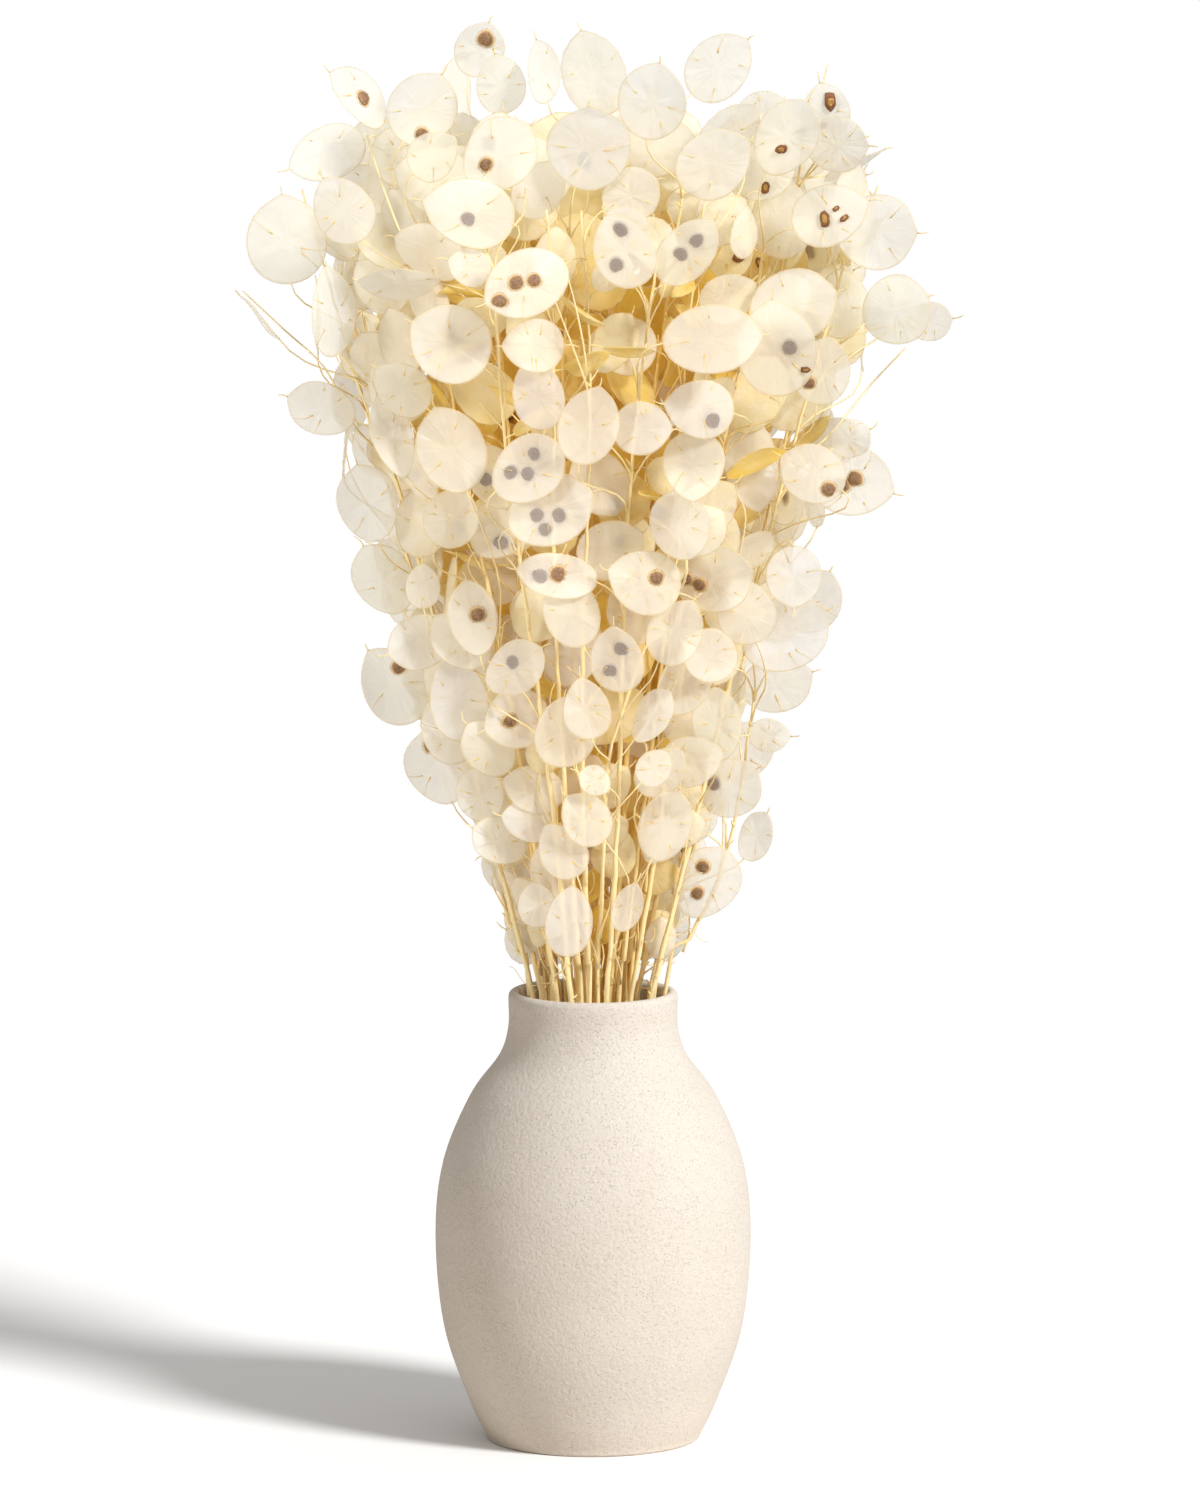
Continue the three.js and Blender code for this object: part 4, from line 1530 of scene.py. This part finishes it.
def addFrays():
    for count, heights in zip(frays["counts"], frays["heights"]):
        for k in range(count):
            draw = draws("fray", 100 * count + k)
            height = within(heights, draw())
            front = [i for i in range(stem["count"]) if onStem(i, height)[0][1] < frays["deepest"]]
            i = front[int(draw() * len(front))]
            addFray(heapsOf(i)["stem"], i, height, draw)


for i in range(len(stems)):
    addStemTo(heapsOf(i)["stem"], i)
addFrays()
for i, path in bareTwigs:
    line = splinePoints(path, 4 * (len(path) - 1))
    radii = tapered((frontTwig["radius"], frontTwig["tipRadius"]), line)
    addTube(heapsOf(i)["stem"], line, radii, stemLook["stalkSides"])
straw = makeStraw()
print("stems and twigs")

# ---- Pods ----

podLook = {
    "wall": 0.34,
    "rimWall": 0.6,
    "frontRings": [0.25, 0.5, 0.75, 0.92, 0.975, 1.0],
    "frontSides": 28,
    "innerRings": [0.55, 0.968, 1.0],
    "innerSides": 16,
    "dish": 1.4,
    "saddle": 1.3,
    "pleat": 0.22,
    "flutter": 0.75,
    "egg": 0.15,
    "nib": 0.09,
    "nibWidth": 0.22,
    "fullSize": 20,  # the half length at which a pod has the whole dish and saddle
    "pleats": 5,
    "pleatsMore": 3,
    "rimFrom": 0.9,
    "stalkAt": 0.94,
    "beakAt": 0.97,
    "coolReach": 5,
    "tintDraw": 0.62,
    "insideFrom": (0.12, 0.54),
    "frontAge": 0.14,
    "age": 0.06,
    "ageDraw": 0.22,
    # how far a pod deep in the bunch is painted towards golden and amber, as warm shade
    "paintedDepthShade": 0.85,
    "huskAge": (0.75, 0.25),
    "huskCurl": 3.2,
    "silver": (0.975, 0.965, 0.932),
    "cream": (0.97, 0.95, 0.88),
    "golden": (0.955, 0.89, 0.63),
    "amber": (0.90, 0.70, 0.16),
    "cool": (0.955, 0.955, 0.97),
    "green": (0.96, 0.955, 0.86),
    "rim": (0.90, 0.76, 0.47),
    "seeThrough": (0.5, 0.3),  # through one of a pod's two skins: where it is fresh and near the outside, and where it has aged and where it lies deep in the bunch under painted shade
    "clearTint": (1.0, 0.995, 0.98),
    "glow": 0.5,  # the share of a skin that lets light through scattered
    "glowTint": (1.0, 0.99, 0.965),
    "stain": 0.42,
    "bump": 0.75,
}

# The coolest, most silvery front pods: x and z where the line of sight meets the plane y = 0
coolPlaces = [
    [-2, 598], [-25, 485], [72, 455], [88, 375], [-62, 345], [49, 479], [-11, 241], [-29, 289], [92, 402],
]


# What sets one pod apart from the next
def podManner(pod, number):
    draw = draws("manner", number)
    front, husk, look = pod.get("front"), pod.get("husk"), podLook
    size = pod["long"] / look["fullSize"]
    manner = {
        "dish": look["dish"] * (2 * draw() - 1) * size,
        "saddle": look["saddle"] * draw() * size,
        "saddleTurn": fullTurn * draw(),
        "pleat": look["pleat"] * (0.2 + draw()),
        "pleats": look["pleats"] + int(look["pleatsMore"] * draw()),
        "pleatTurn": fullTurn * draw(),
        "flutter": look["flutter"] * draw(),
        "egg": look["egg"] * (2 * draw() - 1),
        "curl": look["huskCurl"] if husk else 0,
        "number": number,
    }
    seen = eye + (pod["centre"] - eye) * eye[1] / (eye[1] - pod["centre"][1])
    silvery = front and any(math.hypot(seen[0] - x, seen[2] - z) < look["coolReach"] for x, z in coolPlaces)
    manner["tint"] = 1.0 if silvery else look["tintDraw"] * draw()
    # Painted warm shade: a pod deep in the bunch is painted more golden and amber, on top of its drawn age
    inside = look["paintedDepthShade"] * float(smoothed(*look["insideFrom"], insideShare(pod["centre"])))
    if front:
        manner["age"] = look["frontAge"] * draw()
    else:
        manner["age"] = min(1, look["age"] + look["ageDraw"] * draw() + inside)
    if husk:
        manner["age"] = look["huskAge"][0] + look["huskAge"][1] * draw()
    return manner


# The middle sheet of a pod at a share of the way out and a turn about its centre: an egg-shaped oval with a
# nib at the tip, lifted by a dish, a saddle, radial pleats and a flutter at the rim
def onSheet(pod, manner, share, turn):
    fromTip = np.mod(turn + math.pi, fullTurn) - math.pi
    nib = podLook["nib"] * np.exp(-(fromTip / podLook["nibWidth"]) ** 2)
    a = pod["long"] * share * (np.cos(turn) + nib)
    b = pod["wide"] * share * np.sin(turn) * (1 + manner["egg"] * np.cos(turn))
    height = manner["dish"] * (share ** 2 - 0.5)
    height = height + manner["saddle"] * share ** 2 * np.cos(2 * turn + manner["saddleTurn"])
    folds = np.cos(manner["pleats"] * turn + manner["pleatTurn"])
    height = height + 3 * manner["pleat"] * share * (1 - share) * folds
    height = height + manner["flutter"] * share ** 4 * np.cos(3 * turn + manner["pleatTurn"])
    height = height + manner["curl"] * (b / pod["wide"]) ** 2
    spread = a[..., None] * pod["u"] + b[..., None] * pod["v"]
    return pod["centre"] + spread + height[..., None] * pod["w"]


# A pod's closed shell: from the middle of its back out to the rim and in again to the middle of its face,
# each ring lifted off the middle sheet by half the wall there
def addPod(heap, pod, manner):
    front = pod.get("front")
    ringShares = np.array(podLook["frontRings" if front else "innerRings"])
    sides = podLook["frontSides" if front else "innerSides"]
    share = np.concatenate([ringShares, ringShares[-2::-1]])[:, None]
    face = np.concatenate([-np.ones(len(ringShares)), np.ones(len(ringShares) - 1)])[:, None]
    half = np.where(share > podLook["rimFrom"], podLook["rimWall"], podLook["wall"]) / 2 * (share < 1)
    turn = ringTurns(sides)[None]
    rings = onSheet(pod, manner, share, turn) + (face * half)[..., None] * pod["w"]
    middle = onSheet(pod, manner, np.zeros(1), np.zeros(1))[0]
    spoke = np.zeros(rings.shape)
    spoke[..., 0], spoke[..., 1], spoke[..., 2] = np.cos(turn), np.sin(turn), manner["number"]
    hub = [[0, 0, manner["number"]]]
    edge = np.broadcast_to(share, rings.shape[:2]).ravel()
    lift = pod["w"] * podLook["wall"] / 2
    addRings(
        heap, middle - lift, rings, middle + lift,
        spoke=np.concatenate([hub, spoke.reshape(-1, 3), hub]),
        edge=np.concatenate([[0], edge, [0]]),
        age=manner["age"],
        tint=manner["tint"],
    )


# The least number of threads on a pod and the most beyond it, and how they run
threads = {
    "onFront": (2, 3),
    "onInner": (1, 2),
    "turns": (38, 142),
    "from": 0.985,
    "reach": (0.36, 0.7),
    "steps": [0, 0.35, 0.62, 0.85, 1],
    "radii": [0.15, 0.11, 0.12, 0.27, 0.34],
    "ageing": [0.2, 0.2, 0.4, 0.9, 1.1],
    "lift": 0.22,
    "sides": 4,
}


# The threads that seeds hung from: from the rim inwards over the sheet, each ending in a small knot
def addThreads(heap, pod, manner):
    draw = draws("threads", manner["number"])
    least, more = threads["onFront" if pod.get("front") else "onInner"]
    count = least + int(more * draw())
    for k in range(count):
        side = 1 if k % 2 else -1
        turn = side * math.radians(within(threads["turns"], (k // 2 + draw()) / (count / 2)))
        reach = within(threads["reach"], draw())
        share = within((threads["from"], reach), np.array(threads["steps"]))
        sweep = turn + side * (1 - share) * (draw() - 0.5)
        line = onSheet(pod, manner, share, sweep) + pod["w"] * threads["lift"]
        addTube(heap, line, threads["radii"], threads["sides"], threads["ageing"])


# A beak: a spline from the tip of the sheet straight on, and then bent to a drawn side
def addBeak(heap, pod, manner):
    draw = draws("beak", manner["number"])
    tip = onSheet(pod, manner, np.array([podLook["beakAt"]]), np.zeros(1))[0]
    long = within(stemLook["beak"], draw())
    bend = pod["v"] * (draw() - 0.5) * long * stemLook["beakAcross"]
    bend = bend + pod["w"] * (draw() - 0.5) * long * stemLook["beakOut"]
    line = splinePoints([tip, tip + pod["u"] * long * 0.5, tip + pod["u"] * long + bend], 4)
    addTube(heap, line, tapered(stemLook["beakRadii"], line), threads["sides"])


def makePodSkin():
    material = startTree(bpy.data.materials.new("silverPod"))
    age, tint, edge, place = mark("age"), mark("tint"), mark("edge"), objectPlace()
    # The tones follow the pod's age together with painted warm shade deep in the bunch, and the green and
    # cool tints fade with both
    agedAndShaded = plus(age, mapValue(noise(place, 75, 2, 0.6), 0.25, 0.75, -0.1, 0.1))
    tones = zip((0.0, 0.3, 0.62, 1.0), ("silver", "cream", "golden", "amber"))
    colour = colourRamp(agedAndShaded, [(at, podLook[tone]) for at, tone in tones])
    freshAndUnshaded = mapValue(age, 0.0, 0.6, 1.0, 0.0)
    green = times(mapValue(tint, 0.02, 0.16, 0.6, 0.0), freshAndUnshaded)
    colour = mixColour(green, colour, podLook["green"])
    cool = times(mapValue(tint, 0.7, 1.0), times(freshAndUnshaded, 0.9))
    colour = mixColour(cool, colour, podLook["cool"])
    rays = noise(mark("spoke", "Vector"), 3.4, 2, 0.6)
    stain = times(mapValue(rays, 0.55, 0.75), mapValue(edge, 0.95, 0.25, 0.0, podLook["stain"]))
    colour = mixColour(stain, colour, podLook["golden"])
    colour = mixColour(times(mapValue(edge, 0.93, 0.985), 0.6), colour, podLook["rim"])
    pleats = times(rays, mapValue(edge, 0.0, 0.5, 0.2, 1.0))
    bump = bumped(plus(times(pleats, 0.8), noise(place, 130, 1, 0.55)), podLook["bump"], 0.0012)
    given = {"Base Color": colour, "Roughness": 0.38, "Specular IOR Level": 0.45, "Normal": bump}
    satin = add("BsdfPrincipled", given)
    passed = mixColour(1.0, colour, podLook["glowTint"], "MULTIPLY")
    skin = mixShader(podLook["glow"], satin, add("BsdfTranslucent", {"Color": passed, "Normal": bump}))
    clear = add("BsdfTransparent", {"Color": podLook["clearTint"]})
    return finishMaterial(material, mixShader(mapValue(age, 0.1, 0.6, *podLook["seeThrough"]), skin, clear))


podSkin = makePodSkin()
for number, pod in enumerate(pods):
    heaps = heapsOf(pod["spray"])
    pod["manner"] = podManner(pod, number)
    addPod(heaps["pods"], pod, pod["manner"])
    line = stalkLine(pod, draws("stalk", number))
    line[-1] = onSheet(pod, pod["manner"], np.array([podLook["stalkAt"]]), np.array([math.pi]))[0]
    width = tapered(stemLook["stalkRadii"], line)
    width[0] *= stemLook["rootFlare"]
    addTube(heaps["stem"], line, width, stemLook["stalkSides"])
    if not pod.get("husk"):
        addThreads(heaps["stem"], pod, pod["manner"])
        addBeak(heaps["stem"], pod, pod["manner"])
print("pods, stalks and threads")

# ---- Seeds ----

seedLook = {
    "rings": [0.5, 0.86, 1.0],
    "heights": [0.92, 0.55, 0.0],
    "sides": 12,
    "nearSize": 0.82,
    "farSize": 1.02,
    "sizeDraw": 0.22,
    "stretchDraw": 0.2,
    "notch": 0.2,
    "notchWidth": 0.45,
    "haloRadius": 1.38,
    "pressed": 0.06,
    "stainLift": 0.2,
    "sunk": 0.12,
    "brown": (0.34, 0.19, 0.09),
    "dark": (0.13, 0.066, 0.031),
    # the disc of painted shade that shows a far seed through its sheet: its strength, colour and lift
    "paintedSeedShadeStrength": 0.58,
    "veil": (0.46, 0.39, 0.34),
    "paintedSeedShadeLift": 0.34,
    "halo": (0.83, 0.58, 0.26),
    "corners": 5,
    "lopsided": 0.26,
    "brokenRings": [0.62, 0.88, 1.0],
    "brokenHeights": [1.25, 0.95, 0.0],
    "chestnut": (0.2, 0.075, 0.02),
    "scrap": (0.78, 0.47, 0.12),
    "scrapTilt": 0.55,
    "scraps": [(0.6, 1.0), (0.42, -0.7)],  # the size and tilt of each
}


# A seed: a flat cushion with a notch on one side, its thickness falling from the middle to the rim, laid over
# the sheet. Under one on the near face (0) lies the thin stain that it left, a little wider. One on the far
# face (1) lies behind the sheet, and a thin, partly clear, grey-brown disc of painted shade on the near face
# shows its shape through it. A broken one (2) is an angular lump with two tilted scraps of husk on it
def addSeed(heap, pod, manner, place, number):
    draw = draws("seed", number)
    a, b, kind, size = [*place, 1][:4]
    least = seedLook["farSize" if kind else "nearSize"]
    radius = seed["radius"] * (least + seedLook["sizeDraw"] * draw()) * size
    half = seed["thickness"] / 2
    turns = ringTurns(seedLook["sides"])[None] + fullTurn * draw()
    fromNotch = np.mod(turns, fullTurn) - math.pi
    notch = 1 - seedLook["notch"] * np.exp(-(fromNotch / seedLook["notchWidth"]) ** 2)
    stretch = 1 + seedLook["stretchDraw"] * draw()

    # A place in millimetres from the seed's middle, on the sheet and lifted off it along the pod's face
    def overSheet(x, y, lift):
        x, y = (a + x) / pod["long"], (b + y) / pod["wide"]
        return onSheet(pod, manner, np.hypot(x, y), np.arctan2(y, x)) + np.asarray(lift)[..., None] * pod["w"]

    # Rings from the middle of the back to the rim and in again, each at a share of the outline's reach and at
    # its height below or above the lift, on a slope that the tilt gives
    def addDisc(lift, rings, heights, reach, outline=notch, tilt=0.0, **marks):
        shares = np.concatenate([rings, rings[-2::-1]])[:, None]
        lifts = np.concatenate([-np.array(heights), heights[-2::-1]])[:, None] + lift
        x = reach * shares * np.cos(turns) * outline * stretch
        y = reach * shares * np.sin(turns) * outline
        points = overSheet(x, y, lifts + tilt * (x + reach))
        top = max(heights) * 1.04
        ends = [overSheet(np.zeros(1), np.zeros(1), [lift + tilt * reach + away])[0] for away in (-top, top)]
        edge = np.broadcast_to(shares, points.shape[:2]).ravel()
        marks = {"stain": 0.0, "veil": 0.0, "husk": 0.0, **marks}
        addRings(heap, ends[0], points, ends[1], edge=np.concatenate([[0], edge, [0]]), **marks)

    body = [h * half for h in seedLook["heights"]]
    thin = seedLook["pressed"]
    if kind == 2:
        corner = math.pi / seedLook["corners"]
        slant = turns + fullTurn * draw()
        cut = (1 + seedLook["lopsided"] * np.cos(2 * slant)) * math.cos(corner)
        cut = cut / np.cos(np.mod(slant, 2 * corner) - corner)
        lump = [h * half * math.sqrt(size) for h in seedLook["brokenHeights"]]
        addDisc(lump[0] - seedLook["sunk"], seedLook["brokenRings"], lump, radius, cut, husk=0.5)
        for reach, way in seedLook["scraps"]:
            tilt = way * seedLook["scrapTilt"]
            lift = lump[0] + (0 if way > 0 else -2 * tilt * reach * radius)
            addDisc(lift, [0.6, 1.0], [0.12, 0.0], reach * radius, cut, tilt, husk=1.0)
    elif kind:
        addDisc(-half - podLook["wall"] / 2, seedLook["rings"], body, radius)
        # Painted shade: a dark disc on the near face stands for the far seed's shade seen through the sheet
        addDisc(seedLook["paintedSeedShadeLift"], [0.4, 0.8, 1.0], [thin, thin, 0.0], radius, veil=seedLook["paintedSeedShadeStrength"])
    else:
        addDisc(half - seedLook["sunk"], seedLook["rings"], body, radius)
        addDisc(seedLook["stainLift"], [0.7, 1.0], [thin, 0.0], radius * seedLook["haloRadius"], stain=1.0)


def makeSeedCoat():
    material = startTree(bpy.data.materials.new("seedCoat"))
    edge, veil, husk = mark("edge"), mark("veil"), mark("husk")
    pits = noise(objectPlace(), 900, 3, 0.65)
    brown = colourRamp(pits, [(0.32, seedLook["dark"]), (0.68, seedLook["brown"])])
    # Painted shade: the near-face disc over a far seed turns grey-brown
    brown = mixColour(mapValue(veil, 0.0, 0.1, 0.0, 0.8), brown, seedLook["veil"])
    brown = mixColour(times(mapValue(edge, 0.75, 1.0), 0.25), brown, seedLook["halo"])
    brown = mixColour(mapValue(husk, 0.2, 0.3), brown, seedLook["chestnut"])
    scrap = mixColour(pits, seedLook["chestnut"], seedLook["scrap"])
    brown = mixColour(mapValue(husk, 0.7, 0.8), brown, scrap)
    bump = bumped(pits, 0.7, 0.0005)
    coat = add("BsdfPrincipled", {"Base Color": brown, "Roughness": 0.62, "Normal": bump})
    stain = add("BsdfPrincipled", {"Base Color": seedLook["halo"], "Roughness": 0.55})
    clear = add("BsdfTransparent")
    thinStain = mixShader(mapValue(edge, 0.7, 1.0, 0.35, 0.95), stain, clear)
    whole = mixShader(mark("stain"), coat, thinStain)
    # The disc of painted shade is partly clear, and clearer towards its edge
    faint = times(veil, mapValue(edge, 0.75, 1.0, 1.0, 3.0))
    return finishMaterial(material, mixShader(faint, whole, clear))


seedCoat = makeSeedCoat()
seedNumber = 0
for pod in pods:
    for place in pod["seeds"]:
        addSeed(heapsOf(pod["spray"])["seeds"], pod, pod["manner"], place, seedNumber)
        seedNumber += 1
print("seeds:", seedNumber)

# ---- The pieces ----

materialOf = {"stem": straw, "pods": podSkin, "seeds": seedCoat}
for i, heaps in enumerate(allHeaps):
    modelled = i < stem["count"]
    name = f"spray_{i + 1:02d}" if modelled else "fine"
    for part, heap in heaps.items():
        if heap["count"]:
            addPiece(f"{name}_{part}", heap, materialOf[part], slotOf[part], [name] if modelled else [])

# The weak lamps on the left: one shines on the stems and pods alone, and the other on the vase alone
for lamp, ofVase in (("panel", False), ("warm", True)):
    lit = bpy.data.collections.new(f"lit_by_{lamp}")
    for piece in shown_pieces():
        if (piece.name == "vase_body") == ofVase:
            lit.objects.link(piece)
    bpy.data.objects[lamp].light_linking.receiver_collection = lit

scene = bpy.context.scene
# Light is passed on by many thin sheets
scene.cycles.transparent_max_bounces = 8
scene.cycles.max_bounces = 16
scene.cycles.diffuse_bounces = 14
